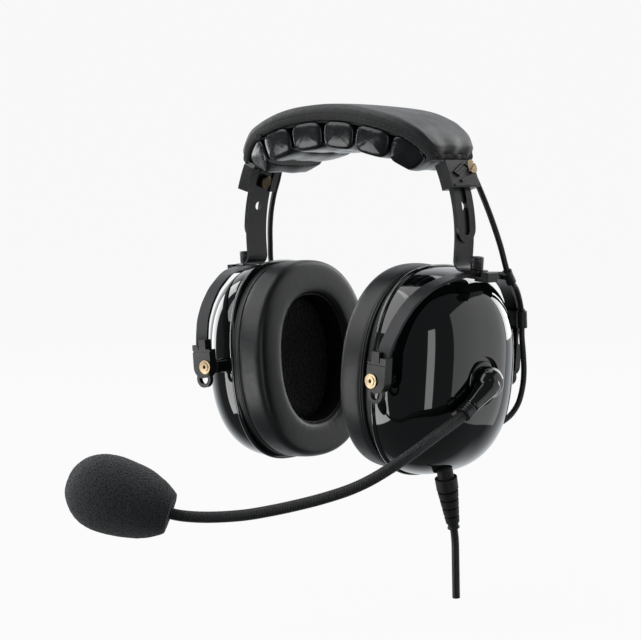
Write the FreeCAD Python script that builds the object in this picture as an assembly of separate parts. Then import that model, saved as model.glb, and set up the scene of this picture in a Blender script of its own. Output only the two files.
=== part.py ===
import FreeCAD, Part
import math
import os

# A headset: spring band with head pad, two ear cups in stirrups on adjustable arms, and a
# microphone boom and cord on the left cup.
# Row frame: origin midway between the ear cups' tilt axes, +X to the wearer's left,
# -Y forward, +Z up. Side pieces are built for the left and mirrored for the right.
# Side frame: origin at the arm's foot, x outwards, -y forward, z up along the arm end.
# Sizes are in mm and angles in degrees. Names: _D diameter, _R radius, _W width,
# _T thickness, _A angle, _N exponent of a superellipse (2 is an ellipse, more is squarer).

os.makedirs("parts", exist_ok=True)
Vec = FreeCAD.Vector
cylinder = Part.makeCylinder
DEG = math.pi / 180.0
X_DIR, Y_DIR, Z_DIR = Vec(1, 0, 0), Vec(0, 1, 0), Vec(0, 0, 1)

# ---------------------------------------------------------------- driving dimensions
# spring band, outer face in the XZ plane: flat top arc, two shoulders, two side arcs
SIDE_R = 85.0
SIDE_CENTRE = Vec(-12.9, 0, 69.0)   # of the left side arc
BAND_TOP_Z = 130.0
TOP_R = 134.5
TOP_A = 20.0                # half angle of the top arc
SHOULDER_R = 31.1
HINGE_A = 26.0              # where shoulder meets side arc, above horizontal
STRIP_T = 1.2
STRIP_W = 15.1
STRIP_GAP = 0.05            # running gap between the two side strips
FLEX_GAP = 0.45             # half gap at the hinge line

# outer side strip and its slot
SIDE_LOW_A = -2.4
SLOT_W = 4.8
SLOT_LOW_A, SLOT_HIGH_A = 0.2, 22.4

# arm: inner strip with a foot
ARM_TOP_A, ARM_LOW_A = 24.9, -4.4
ARM_HOLE_A, ARM_HOLE_D = 10.3, 4.6
FOOT_X, FOOT_Z = 77.84, 51.35
FOOT_TOP_Z = 0.8            # side frame
FOOT_BEND_R = 5.0           # centreline radius
FOOT_TIP_R = 5.5
CUP_LEAN = 4.4              # of the arm end and the cup, bottom inwards
TOE_IN = 2.8                # front of the cup inwards

# clamp
CLAMP_A = 20.0              # stud, through the slot
CLAMP_LOW_A, CLAMP_HIGH_A = 15.9, 25.1
CLAMP_PLATE = 3.6
CLAMP_WALL_FRONT, CLAMP_WALL_REAR = 4.4, 3.2
CLAMP_LIP = 1.3             # reach of the lips under the arm strip
CLAMP_STUD_D = 4.4
COVER_SCREW_A, COVER_SCREW_Y = 22.6, 7.2
COVER_SCREW_D = 3.2
COVER_HEAD_D = 7.2
CLAMP_NUT_D, CLAMP_NUT_T = 7.4, 2.8

# swivel screw and block
SWIVEL_SHANK_D = 3.2
SWIVEL_HOLE_D = 3.3
KNURL_D, KNURL_H = 6.5, 6.6
KNURL_Z = 0.86              # underside of the knurled head
KNURL_FLUTES = 18

# stirrup hoop
HOOP_FRONT, HOOP_REAR = 55.0, 49.5      # half widths in front of and behind the foot
HOOP_N_FRONT, HOOP_N_REAR = 2.15, 2.6
HOOP_TOP_Z = -1.2
HOOP_W, HOOP_T = 7.6, 1.5

# cup pivots
PIVOT_X, PIVOT_Z = -15.5, -52.7
# (direction along y, inner and outer distance of the pivot block): front, rear
PIVOT_SIDES = ((-1, 52.0, 57.0), (1, 47.5, 51.5))
PIN_D, PIN_BORE_D = 4.0, 4.1
EYELET_D = 7.2
CUP_BOSS_D = 7.6

# ear cup; _A and _B sizes are half y and half z
CUP_Z = -52.9
DOME_X = -25.8
DOME_L = 35.6
DOME_A, DOME_B = 45.3, 53.0
DOME_N = 2.55               # outline
DOME_PROFILE_N = 2.5
DOME_T = 2.5
RIM_OUT = 1.1
PLATE_N = 2.3               # outline of baffle, ear opening, liner and foam
BAFFLE_T = 3.0
BAFFLE_X = DOME_X - 0.02
SEAL_T = 17.6
SEAL_A, SEAL_B, SEAL_N = 48.3, 53.0, 2.26
SEAL_X = BAFFLE_X - BAFFLE_T - 0.02
OPEN_A, OPEN_B = 28.1, 34.3

# boom
BOOM_CENTRE = Vec(0, -1.0, -54.0)       # on the boom's swivel axis, along x
RECESS_R = 12.5
LAND_X = 7.6
ELBOW_X = LAND_X + 6.6                  # where the tail's axis crosses the swivel axis
SHAFT_D, SHAFT_BORE_D = 7.0, 7.1
TUBE_R = 2.75
TAIL_A = 214.0                          # in the side frame, 180 = forward, 270 = down
TAIL_DIR = Vec(0, math.cos(TAIL_A * DEG), math.sin(TAIL_A * DEG))
SOCKET_START = 15.0                     # along the tail

# cables
CROSS_R = 1.5
CORD_R = 2.0

# head pad, offsets measured outwards from the band's outer face
PAD_TOP, PAD_TOP_END = 6.6, 5.0
COVER_IN = 1.2
BASE_HI, BASE_LO = -2.4, -3.6
CELL_HI, CELL_LO = -3.8, -17.4
PAD_HALF_MID, PAD_HALF_END = 28.0, 16.5
BIND_T = 2.6
CELLS = 6


# ---------------------------------------------------------------- helpers
def tidy(shape):
    """A bare solid if there is only one, else a compound of the solids."""
    if isinstance(shape, list):
        shape = Part.makeCompound(shape)
    solids = shape.Solids
    return solids[0] if len(solids) == 1 else Part.makeCompound(solids)


def placed(shape, placement):
    moved = shape.copy()
    moved.Placement = placement.multiply(moved.Placement)
    return moved


def save(shape, name, frame=None, mirror=False):
    shape = tidy(shape)
    if frame is not None:
        shape = placed(shape, frame)
    if mirror:
        shape = shape.mirror(Vec(0, 0, 0), X_DIR)
    shape.exportStep("parts/" + name + ".step")


def save_pair(shape, name, frame=None):
    """Save the left piece and its mirror image."""
    save(shape, name + "_left", frame)
    save(shape, name + "_right", frame, mirror=True)


def unit(vector):
    return vector * (1.0 / vector.Length)


def subtended(length, radius):
    """Angle in degrees of an arc of this length."""
    return length / radius / DEG


def signed_power(value, power):
    return math.copysign(abs(value) ** power, value)


def closed(points):
    return Part.makePolygon(points + [points[0]])


def prism(points, along):
    return Part.Face(closed(points)).extrude(along)


def edge_face(edges):
    return Part.Face(Part.Wire(Part.__sortEdges__(edges)))


def turned(profile, base):
    """Turn (radius, x) points about the x-parallel axis through base."""
    points = [base + X_DIR * x + Vec(0, radius, 0) for radius, x in profile]
    return Part.Face(closed(points)).revolve(base, X_DIR, 360)


def circle_edges(shape):
    return [edge for edge in shape.Edges if len(edge.Vertexes) == 1]


def oval(half_y, half_z, exponent, x, count=40):
    points = []
    for i in range(count):
        t = 2.0 * math.pi * i / count
        points.append(Vec(x, half_y * signed_power(math.cos(t), 2.0 / exponent),
                          CUP_Z + half_z * signed_power(math.sin(t), 2.0 / exponent)))
    curve = Part.BSplineCurve()
    curve.interpolate(Points=points, PeriodicFlag=True)
    return Part.Wire([curve.toShape()])


def oval_loft(rows, exponent, ruled=False):
    """Loft through ovals about the cup's axis; rows of (x, half y, half z)."""
    return Part.makeLoft([oval(a, b, exponent, x) for x, a, b in rows], True, ruled)


def pipe(path, radius):
    """Round bar with square ends along a list of edges."""
    wire = Part.Wire(path)
    first = wire.Edges[0]
    start = first.valueAt(first.FirstParameter)
    direction = first.tangentAt(first.FirstParameter)
    section = Part.Wire([Part.makeCircle(radius, start, direction)])
    return wire.makePipeShell([section], True, False)


def spline(points, start_tangent=None, end_tangent=None):
    curve = Part.BSplineCurve()
    if start_tangent is None:
        curve.interpolate(Points=points)
    else:
        curve.interpolate(Points=points, InitialTangent=start_tangent,
                          FinalTangent=end_tangent)
    return curve.toShape()


def foot_frame(lean, toe):
    """Placement at the foot, leaned about y and toed in."""
    cl, sl = math.cos(lean * DEG), math.sin(lean * DEG)
    ct, st = math.cos(toe * DEG), math.sin(toe * DEG)
    return FreeCAD.Placement(FreeCAD.Matrix(
        cl * ct, cl * st, sl, FOOT_X,
        -st, ct, 0.0, 0.0,
        -sl * ct, -sl * st, cl, FOOT_Z,
        0, 0, 0, 1))


LEAN = foot_frame(CUP_LEAN, 0.0)
SIDE = foot_frame(CUP_LEAN, TOE_IN)


def radial(angle):
    """Unit vector in the XZ plane, angle from +X towards +Z."""
    return Vec(math.cos(angle * DEG), 0, math.sin(angle * DEG))


def tangential(angle):
    return Vec(-math.sin(angle * DEG), 0, math.cos(angle * DEG))


def polar(centre, radius, angle):
    return centre + radial(angle) * radius


def arc(centre, radius, start, end):
    angles = (start, 0.5 * (start + end), end)
    return Part.Arc(*[polar(centre, radius, angle) for angle in angles]).toShape()


# ---------------------------------------------------------------- spring band
TOP_CENTRE = Vec(0, 0, BAND_TOP_Z - TOP_R)
SHOULDER_TOP_A = 90.0 - TOP_A       # the shoulder runs from here down to HINGE_A
SHOULDER_CENTRE = polar(TOP_CENTRE, TOP_R - SHOULDER_R, SHOULDER_TOP_A)
LEN_TOP = TOP_R * TOP_A * DEG       # from the middle
LEN_SHOULDER = SHOULDER_R * (SHOULDER_TOP_A - HINGE_A) * DEG


def band_point(length, offset, y):
    """Point at an arc length from the middle (+ towards +X) and an outward offset."""
    reach = abs(length)
    if reach <= LEN_TOP:
        angle = 90.0 - subtended(reach, TOP_R)
        point = polar(TOP_CENTRE, TOP_R + offset, angle)
    else:
        angle = SHOULDER_TOP_A - subtended(reach - LEN_TOP, SHOULDER_R)
        point = polar(SHOULDER_CENTRE, SHOULDER_R + offset, angle)
    return Vec(point.x if length >= 0 else -point.x, y, point.z)


def build_band():
    shift = Vec(0, -STRIP_W / 2, 0)
    top = TOP_CENTRE + shift
    left = SHOULDER_CENTRE + shift
    right = Vec(-left.x, left.y, left.z)
    end = HINGE_A + subtended(FLEX_GAP, SHOULDER_R)
    outer, inner = [
        [arc(right, SHOULDER_R + offset, 180 - end, 180 - SHOULDER_TOP_A),
         arc(top, TOP_R + offset, 180 - SHOULDER_TOP_A, SHOULDER_TOP_A),
         arc(left, SHOULDER_R + offset, SHOULDER_TOP_A, end)]
        for offset in (0.0, -STRIP_T)]
    ends = [Part.makeLine(outer[-1].Vertexes[-1].Point, inner[-1].Vertexes[-1].Point),
            Part.makeLine(inner[0].Vertexes[0].Point, outer[0].Vertexes[0].Point)]
    face = edge_face(outer + ends[:1] + inner + ends[1:])
    save(face.extrude(Vec(0, STRIP_W, 0)), "band_spring")


# ---------------------------------------------------------------- side strip and arm
ARM_OUT = SIDE_R - STRIP_T - STRIP_GAP
ARM_IN = ARM_OUT - STRIP_T


def arc_block(r_in, r_out, low, high, y0, y1):
    """Block between two radii and two angles about the side arc's centre."""
    centre = SIDE_CENTRE + Vec(0, y0, 0)
    face = edge_face([
        arc(centre, r_out, low, high),
        Part.makeLine(polar(centre, r_out, high), polar(centre, r_in, high)),
        arc(centre, r_in, high, low),
        Part.makeLine(polar(centre, r_in, low), polar(centre, r_out, low))])
    return face.extrude(Vec(0, y1 - y0, 0))


def radial_cylinder(radius, angle, r_in, r_out, y=0.0):
    base = polar(SIDE_CENTRE + Vec(0, y, 0), r_in, angle)
    return cylinder(radius, r_out - r_in, base, radial(angle))


def round_end_tool(r_in, r_out, end, sign):
    """Corners to remove for a half-round strip end; sign is -1 for the low end."""
    radius = STRIP_W / 2.0
    centre = end - sign * subtended(radius, 0.5 * (r_in + r_out))
    low, high = sorted((end + sign * subtended(3, r_out), centre))
    block = arc_block(r_in - 1, r_out + 1, low, high, -STRIP_W, STRIP_W)
    return block.cut(radial_cylinder(radius, centre, r_in - 2, r_out + 2))


def build_side_strip():
    r_in = SIDE_R - STRIP_T
    strip = arc_block(r_in, SIDE_R, SIDE_LOW_A, HINGE_A - subtended(FLEX_GAP, SIDE_R),
                      -STRIP_W / 2, STRIP_W / 2)
    strip = strip.cut(round_end_tool(r_in, SIDE_R, SIDE_LOW_A, -1))
    half = SLOT_W / 2
    low = SLOT_LOW_A + subtended(half, SIDE_R)
    high = SLOT_HIGH_A - subtended(half, SIDE_R)
    slot = arc_block(SIDE_R - 3, SIDE_R + 2, low, high, -half, half)
    for angle in (low, high):
        slot = slot.fuse(radial_cylinder(half, angle, SIDE_R - 4, SIDE_R + 3))
    save_pair(strip.cut(slot), "side_strip")


def build_arm_strip():
    # the profile is drawn on the front edge; the foot's corners are set in the lean frame
    front = -STRIP_W / 2
    half_t = STRIP_T / 2
    low_end = polar(SIDE_CENTRE, 0.5 * (ARM_OUT + ARM_IN), ARM_LOW_A)
    arm_x = LEAN.inverse().multVec(low_end).x
    tab_z = FOOT_TOP_Z - half_t
    bend_x, bend_z = arm_x + FOOT_BEND_R, tab_z + FOOT_BEND_R
    r_small, r_large = FOOT_BEND_R - half_t, FOOT_BEND_R + half_t
    tip_x = FOOT_TIP_R + 1

    def foot_point(x, z):
        return LEAN.multVec(Vec(x, front, z))

    def bend_middle(radius):
        reach = radius * math.cos(45 * DEG)
        return foot_point(bend_x - reach, bend_z - reach)

    outer_top, outer_foot = foot_point(arm_x + half_t, bend_z), foot_point(bend_x, tab_z + half_t)
    inner_top, inner_foot = foot_point(arm_x - half_t, bend_z), foot_point(bend_x, tab_z - half_t)
    tip_upper, tip_lower = foot_point(tip_x, tab_z + half_t), foot_point(tip_x, tab_z - half_t)
    centre = SIDE_CENTRE + Vec(0, front, 0)
    arm = edge_face([
        arc(centre, ARM_OUT, ARM_TOP_A, ARM_LOW_A),
        Part.makeLine(polar(centre, ARM_OUT, ARM_LOW_A), outer_top),
        Part.Arc(outer_top, bend_middle(r_small), outer_foot).toShape(),
        Part.makeLine(outer_foot, tip_upper),
        Part.makeLine(tip_upper, tip_lower),
        Part.makeLine(tip_lower, inner_foot),
        Part.Arc(inner_foot, bend_middle(r_large), inner_top).toShape(),
        Part.makeLine(inner_top, polar(centre, ARM_IN, ARM_LOW_A)),
        arc(centre, ARM_IN, ARM_LOW_A, ARM_TOP_A),
        Part.makeLine(polar(centre, ARM_IN, ARM_TOP_A), polar(centre, ARM_OUT, ARM_TOP_A)),
    ]).extrude(Vec(0, STRIP_W, 0))
    arm = arm.cut(round_end_tool(ARM_IN, ARM_OUT, ARM_TOP_A, 1))

    # plan outline of the foot: full width at the bend, round about the screw at the tip
    root_x, root_y = bend_x - 0.6, STRIP_W / 2 + 0.01
    root_front, root_rear = Vec(root_x, -root_y, -2), Vec(root_x, root_y, -2)
    tip_front, tip_rear = Vec(0.6, -FOOT_TIP_R, -2), Vec(0.6, FOOT_TIP_R, -2)
    keep = edge_face([
        Part.makeLine(root_front, tip_front),
        Part.Arc(tip_front, Vec(FOOT_TIP_R + 0.2, 0, -2), tip_rear).toShape(),
        Part.makeLine(tip_rear, root_rear),
        Part.makeLine(root_rear, root_front)]).extrude(Vec(0, 0, 4))
    trim = Part.makeBox(14, 24, 3.6, Vec(root_x, -12, -1.8)).cut(keep)
    arm = arm.cut(placed(trim, LEAN))
    arm = arm.cut(placed(cylinder(SWIVEL_HOLE_D / 2, 8, Vec(0, 0, -4)), LEAN))
    for radius, angle in ((ARM_HOLE_D / 2, ARM_HOLE_A), (CLAMP_STUD_D / 2 + 0.02, CLAMP_A)):
        arm = arm.cut(radial_cylinder(radius, angle, ARM_IN - 3, ARM_OUT + 3))
    save_pair(arm, "arm_strip")


# ---------------------------------------------------------------- clamp
CLAMP_IN = SIDE_R + 0.06            # underside of the outer plate
CLAMP_OUT = CLAMP_IN + CLAMP_PLATE


def patch(corners, low, high):
    """Flat raised field; corners (y, angle), heights from the plate at their mean angle."""
    mean = 0.25 * sum(angle for y, angle in corners)
    normal = radial(mean)
    points = [SIDE_CENTRE + normal * (CLAMP_OUT + low)
              + tangential(mean) * ((angle - mean) * DEG * CLAMP_OUT) + Vec(0, y, 0)
              for y, angle in corners]
    return prism(points, normal * (high - low))


def slab(corner, side, other):
    """Parallelogram of (y, angle) corners."""
    (y, angle), (y1, angle1), (y2, angle2) = corner, side, other
    return [(y, angle), (y + y1, angle + angle1),
            (y + y1 + y2, angle + angle1 + angle2), (y + y2, angle + angle2)]


def build_clamp_saddle():
    half = STRIP_W / 2 + 0.08
    saddle = arc_block(CLAMP_IN, CLAMP_OUT, CLAMP_LOW_A, CLAMP_HIGH_A,
                       -half - CLAMP_WALL_FRONT, half + CLAMP_WALL_REAR)
    for sign, wall in ((-1, CLAMP_WALL_FRONT), (1, CLAMP_WALL_REAR)):
        # side wall round the strips, then the lip under the arm strip
        for near, r_out in ((half, CLAMP_IN + 0.5), (half - CLAMP_LIP, ARM_IN - 0.06)):
            y0, y1 = sorted((sign * near, sign * (half + wall)))
            saddle = saddle.fuse(
                arc_block(ARM_IN - 0.9, r_out, CLAMP_LOW_A, CLAMP_HIGH_A, y0, y1))
    # slanting frame with a sunk field, and a raised field standing in it
    frame = slab((-9.0, 20.9), (11.2, 3.6), (3.8, -1.6))
    sunk = slab((-7.6, 20.75), (9.0, 2.9), (2.4, -1.0))
    island = slab((-6.6, 20.6), (7.4, 2.38), (1.6, -0.66))
    saddle = saddle.fuse(patch(frame, -0.6, 0.95))
    saddle = saddle.cut(patch(sunk, 0.35, 3.0)).fuse(patch(island, -0.4, 0.75))
    # slanting bar and lower lip
    saddle = saddle.fuse(patch(slab((-4.6, 18.3), (10.6, 1.9), (0.9, -0.9)), -0.6, 0.7))
    lip = [(-10.4, 16.9), (8.2, 16.9), (9.8, 16.25), (-10.4, 16.25)]
    saddle = saddle.fuse(patch(lip, -0.6, 0.6)).removeSplitter()
    # stud hole, screw hole and head seat
    for radius, angle, r_in, r_out, y in (
            (CLAMP_STUD_D / 2 + 0.05, CLAMP_A, CLAMP_IN - 2, CLAMP_IN + 2.1, 0.0),
            (COVER_SCREW_D / 2 + 0.05, COVER_SCREW_A, CLAMP_IN + 0.7, CLAMP_OUT + 4,
             COVER_SCREW_Y),
            (COVER_HEAD_D / 2 + 0.2, COVER_SCREW_A, CLAMP_OUT - 0.25, CLAMP_OUT + 5,
             COVER_SCREW_Y)):
        saddle = saddle.cut(radial_cylinder(radius, angle, r_in, r_out, y))
    save_pair(saddle, "arm_clamp")


def build_clamp_screw():
    """Cover screw: slotted head outside, short shank in the saddle."""
    screw = radial_cylinder(COVER_SCREW_D / 2, COVER_SCREW_A, CLAMP_IN + 0.8, CLAMP_OUT,
                            COVER_SCREW_Y)
    screw = screw.fuse(radial_cylinder(COVER_HEAD_D / 2, COVER_SCREW_A, CLAMP_OUT - 0.22,
                                       CLAMP_OUT + 1.3, COVER_SCREW_Y))
    normal, tangent = radial(COVER_SCREW_A), tangential(COVER_SCREW_A)
    centre = SIDE_CENTRE + normal * (CLAMP_OUT + 0.6) + Vec(0, COVER_SCREW_Y, 0)
    along = (Y_DIR * 0.8 + tangent * 0.6) * 5
    across = (Y_DIR * 0.6 - tangent * 0.8) * 0.5
    slot = [centre - along - across, centre + along - across,
            centre + along + across, centre - along + across]
    save_pair(screw.cut(prism(slot, normal * 3)), "clamp_screw")


def build_clamp_nut():
    """Inside nut with its stud, which runs in the slot and ends in the saddle."""
    top = ARM_IN - 0.12
    bottom = top - CLAMP_NUT_T
    normal = radial(CLAMP_A)
    nut = radial_cylinder(CLAMP_NUT_D / 2, CLAMP_A, bottom, top)
    nut = nut.makeChamfer(0.4, [
        edge for edge in circle_edges(nut)
        if (edge.CenterOfMass - SIDE_CENTRE).dot(normal) < bottom + 0.5])
    nut = nut.fuse(radial_cylinder(CLAMP_STUD_D / 2, CLAMP_A, top - 1.0, CLAMP_IN + 2.0))
    save_pair(nut, "clamp_nut")


# ---------------------------------------------------------------- stirrup (side frame)
# (station in degrees from the top of the hoop, x of the strip's middle)
HOOP_X = [(0, 0.3), (15, -2.7), (33, -6.7), (50, -8.5), (62, -9.5), (75, -11.3), (90, -12.7)]


def hoop_x(station):
    """Part linear, part eased, between the stations of HOOP_X."""
    station = abs(station)
    for (start, x0), (end, x1) in zip(HOOP_X, HOOP_X[1:]):
        if station <= end:
            k = (station - start) / (end - start)
            k = k * k * (3 - 2 * k) * 0.35 + k * 0.65
            return x0 + (x1 - x0) * k


def hoop_point(station):
    """Stations run from -90 at the front pivot over the top to 90 at the rear one."""
    half, exponent = ((HOOP_FRONT, HOOP_N_FRONT) if station < 0
                      else (HOOP_REAR, HOOP_N_REAR))
    y = half * signed_power(math.sin(station * DEG), 2.0 / exponent)
    rise = signed_power(math.cos(station * DEG), 2.0 / exponent)
    return Vec(hoop_x(station), y, PIVOT_Z + (HOOP_TOP_Z - PIVOT_Z) * rise)


def hoop_frame(station):
    """Point, direction along the hoop, and normal pointing away from the cup."""
    point = hoop_point(station)
    along = hoop_point(min(station + 0.5, 89.9)) - hoop_point(max(station - 0.5, -89.9))
    along = unit(Vec(0, along.y, along.z))
    normal = along.cross(X_DIR)
    if normal.dot(point - Vec(point.x, 0, PIVOT_Z)) < 0:
        normal = normal * -1
    return point, along, normal


def hoop_solid(extra_w=0.0, extra_t=0.0, start=-86.0, end=86.0, steps=32):
    """The strip, grown by extra_w and extra_t on each face."""
    wires = []
    for i in range(steps + 1):
        point, along, normal = hoop_frame(start + (end - start) * i / steps)
        wide = X_DIR * (HOOP_W / 2 + extra_w)
        thick = normal * (HOOP_T / 2 + extra_t)
        wires.append(closed([point - wide - thick, point + wide - thick,
                             point + wide + thick, point - wide + thick]))
    return Part.makeLoft(wires, True, False)


def pivot_cylinder(radius, length, sign, distance):
    """Cylinder on the cup's tilt axis, from a distance in y outwards."""
    return cylinder(radius, length, Vec(PIVOT_X, sign * distance, PIVOT_Z), Vec(0, sign, 0))


def build_stirrup_strip():
    hole = cylinder(SWIVEL_SHANK_D / 2 + 0.02, 8, Vec(0, 0, -5))
    save_pair(hoop_solid().cut(hole), "stirrup_strip", SIDE)


def build_swivel_screw():
    """Knurled screw; its shank turns in the foot."""
    screw = cylinder(KNURL_D / 2, KNURL_H, Vec(0, 0, KNURL_Z))
    screw = screw.makeChamfer(0.35, circle_edges(screw))
    reach = KNURL_D / 2 + 0.05
    for i in range(KNURL_FLUTES):
        turn = 2 * math.pi * i / KNURL_FLUTES
        base = Vec(reach * math.cos(turn), reach * math.sin(turn), KNURL_Z + 0.8)
        screw = screw.cut(cylinder(0.33, KNURL_H - 1.6, base))
    screw = screw.cut(cylinder(1.7, 2.4, Vec(0, 0, KNURL_Z + KNURL_H - 2.0)))
    shank_low = -3.2
    screw = screw.fuse(cylinder(SWIVEL_SHANK_D / 2, KNURL_Z + 0.4 - shank_low,
                                Vec(0, 0, shank_low)))
    save_pair(screw, "swivel_screw", SIDE)


def build_swivel_block():
    """Stepped block on the strip below the foot."""
    width, outer_x = 9.0, 10.5
    # inner x, bottom z, height of each step
    steps = [Part.makeBox(outer_x - x, width, height, Vec(x, -width / 2, z))
             for x, z, height in ((-2.2, -3.4, 1.4), (2.5, -4.45, 2.45), (6.4, -4.45, 5.0))]
    block = steps[0].fuse(steps[1]).fuse(steps[2]).removeSplitter()
    block = block.makeFillet(0.8, [
        edge for edge in block.Edges
        if abs(edge.CenterOfMass.x - outer_x) < 0.01 and edge.Length > 4])
    block = block.cut(hoop_solid(0.1, 0.08))
    block = block.cut(cylinder(SWIVEL_SHANK_D / 2 + 0.02, 9, Vec(0, 0, -5)))
    save_pair(block, "swivel_block", SIDE)


# (x, z) outline of the pivot block above the tilt axis
BLOCK_OUTLINE = [
    (-18.8, PIVOT_Z), (-18.8, -43.5), (-16.2, -43.5), (-16.2, -38.3), (-11.6, -38.3),
    (-11.6, -43.5), (-10.9, -43.5), (-10.9, -41.0), (-7.2, -41.0), (-7.2, PIVOT_Z)]
RING_X, RING_Z = -13.2, -58.9       # ring below the block


def build_pivot_blocks():
    """Front and rear blocks, with the strip's ends let into them."""
    grown = hoop_solid(0.12, 0.10)
    for start, end in ((-87.5, -84.0), (84.0, 87.5)):
        grown = grown.fuse(hoop_solid(0.12, 0.10, start, end, 2))
    blocks = []
    for sign, near, far in PIVOT_SIDES:
        y0, y1 = sorted((sign * near, sign * far))
        outwards = Vec(0, sign, 0)
        block = prism([Vec(x, y0, z) for x, z in BLOCK_OUTLINE], Vec(0, y1 - y0, 0))
        block = block.fuse(cylinder(5.8, y1 - y0, Vec(-13.0, y0, PIVOT_Z), Y_DIR))
        ring = cylinder(4.6, 2.5, Vec(RING_X, sign * (far - 3.0), RING_Z), outwards)
        ring = ring.cut(cylinder(2.9, 9, Vec(RING_X, sign * (far - 6.0), RING_Z), outwards))
        block = block.fuse(ring).removeSplitter()
        # groove across the outer face
        y0, y1 = sorted((sign * (far - 0.6), sign * (far + 1)))
        block = block.cut(Part.makeBox(14.0, y1 - y0, 0.8, Vec(-20.0, y0, -44.9)))
        block = block.cut(pivot_cylinder(PIN_BORE_D / 2, 30, sign, 40))
        blocks.append(tidy(block.cut(grown)))
    save_pair(blocks, "pivot_blocks", SIDE)


# ---------------------------------------------------------------- crossover cable at the side
# (x, y, z) from the pad down, in the row frame
CABLE_ROW = [(61.0, 10.75, 109.6), (62.9, 12.3, 105.9), (66.3, 14.1, 98.6),
             (70.3, 15.0, 90.0), (74.4, 16.8, 78.8), (78.0, 20.0, 64.6)]
# (x, y, z) on down to the shell, in the side frame
CABLE_SIDE = [(1.5, 25.0, -3.5), (-0.6, 35.0, -10.8), (-2.2, 42.0, -20.6),
              (-2.4, 43.8, -26.8), (-1.7, 43.7, -35.0), (-0.6, 44.8, -46.0),
              (-0.1, 45.5, -55.0), (-0.2, 45.2, -62.5), (-0.5, 42.8, -70.6),
              (-1.0, 38.0, -76.0), (-1.6, 32.4, -79.0), (-2.4, 27.0, -80.6)]
CABLE_PATH = spline([SIDE.inverse().multVec(Vec(*p)) for p in CABLE_ROW]
                    + [Vec(*p) for p in CABLE_SIDE])
# (length, place on the cable)
CABLE_CLIPS = ((7.2, CABLE_SIDE[0]), (8.6, CABLE_SIDE[3]))


def build_cable_clips():
    """Two clips that hold the cable to the strip's outer edge."""
    cable_space = pipe([CABLE_PATH], CROSS_R + 0.06)
    hoop = hoop_solid(0.08, 0.06)
    curve = CABLE_PATH.Curve
    clips = []
    for length, place in CABLE_CLIPS:
        parameter = curve.parameter(Vec(*place))
        centre = curve.value(parameter)
        direction = curve.tangent(parameter)[0]

        def distance(station):
            point = hoop_point(station)
            return (point - Vec(point.x, centre.y, centre.z)).Length

        nearest = min([i * 0.25 for i in range(0, 340)], key=distance)
        point, along, normal = hoop_frame(nearest)
        sleeve = cylinder(CROSS_R + 1.2, length, centre - direction * (length / 2), direction)
        offset = (centre - point).dot(normal)
        margin = HOOP_W / 2 + 1.0
        corner = (point - along * (length / 2) - X_DIR * margin
                  - normal * (HOOP_T / 2 + 0.7))
        to_cable = X_DIR * (margin + (centre - point).x)
        depth = HOOP_T + 1.6
        body = prism([corner,
                      corner + to_cable + normal * min(0.0, offset),
                      corner + to_cable + normal * (depth + max(0.0, offset)),
                      corner + normal * depth], along * length)
        clip = body.fuse(sleeve).cut(cable_space).cut(hoop)
        # the cuts may leave slivers: keep the largest solid
        clips.append(max(clip.Solids, key=lambda solid: solid.Volume))
    save_pair(clips, "cable_clips", SIDE)


# ---------------------------------------------------------------- ear cup (side frame)
# fractions of the dome's length at which its sections stand
DOME_FRACTIONS = [0.0, 0.14, 0.28, 0.42, 0.55, 0.66, 0.76, 0.845, 0.91, 0.955, 0.985, 0.997]
BOOT_TOP = Vec(-10.0, -4.6, -97.5)
BOOT_DIR = unit(Vec(2.0, 8.5, -33.0))


def dome(inset):
    """Dome solid, drawn in from the outer size by inset."""
    rows = []
    for f in DOME_FRACTIONS:
        scale = (1.0 - f ** DOME_PROFILE_N) ** (1.0 / DOME_PROFILE_N)
        rows.append((DOME_X + f * (DOME_L - inset),
                     (DOME_A - inset) * scale, (DOME_B - inset) * scale))
    return oval_loft(rows, DOME_N)


def boom_cylinder(radius, length, x):
    """Cylinder on the boom's swivel axis, from x outwards."""
    return cylinder(radius, length, BOOM_CENTRE + X_DIR * x, X_DIR)


def build_shells():
    outer = dome(0.0)
    inner = dome(DOME_T)
    inner = inner.fuse(oval_loft([(DOME_X + x, DOME_A - DOME_T, DOME_B - DOME_T)
                                  for x in (-1, 0.4)], DOME_N, True))
    rim_rows = ((0, 0.5), (0.5, RIM_OUT), (2.0, RIM_OUT), (2.6, 0.4))   # x, height
    rim = oval_loft([(DOME_X + x, DOME_A + out, DOME_B + out) for x, out in rim_rows],
                    DOME_N, True)
    body = outer.fuse(rim)
    for sign, near, far in PIVOT_SIDES:
        body = body.fuse(pivot_cylinder(CUP_BOSS_D / 2, near - 0.25 - 38.0, sign, 38.0))
    shell = body.cut(inner)
    # inside bosses for the tilt screws, and the screw holes
    for sign in (-1, 1):
        shell = shell.fuse(pivot_cylinder(4.0, 4.5, sign, 39.5))
    for sign in (-1, 1):
        shell = shell.cut(pivot_cylinder(PIN_D / 2 + 0.02, 20, sign, 38.5))
    shell = tidy(shell.cut(pipe([CABLE_PATH], CROSS_R + 0.1)))
    # the left shell also has the boom's land and bore, and the hole for the cord boot
    left = shell.fuse(boom_cylinder(RECESS_R + 1.8, 3.6, LAND_X - 3.0).common(outer))
    left = left.cut(boom_cylinder(RECESS_R, 12, LAND_X))
    left = left.cut(boom_cylinder(SHAFT_BORE_D / 2, 30, -10))
    left = left.cut(cylinder(4.25, 16, BOOT_TOP, BOOT_DIR))
    save(left, "cup_shell_left", SIDE)
    save(shell, "cup_shell_right", SIDE, mirror=True)


def build_baffle():
    baffle = oval_loft([(x, DOME_A + 0.9, DOME_B - 0.9)
                        for x in (BAFFLE_X - BAFFLE_T, BAFFLE_X)], PLATE_N, True)
    hole = cylinder(19.0, 9, Vec(BAFFLE_X - BAFFLE_T - 3, 0, CUP_Z), X_DIR)
    save_pair(baffle.cut(hole), "cup_baffle", SIDE)


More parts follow.
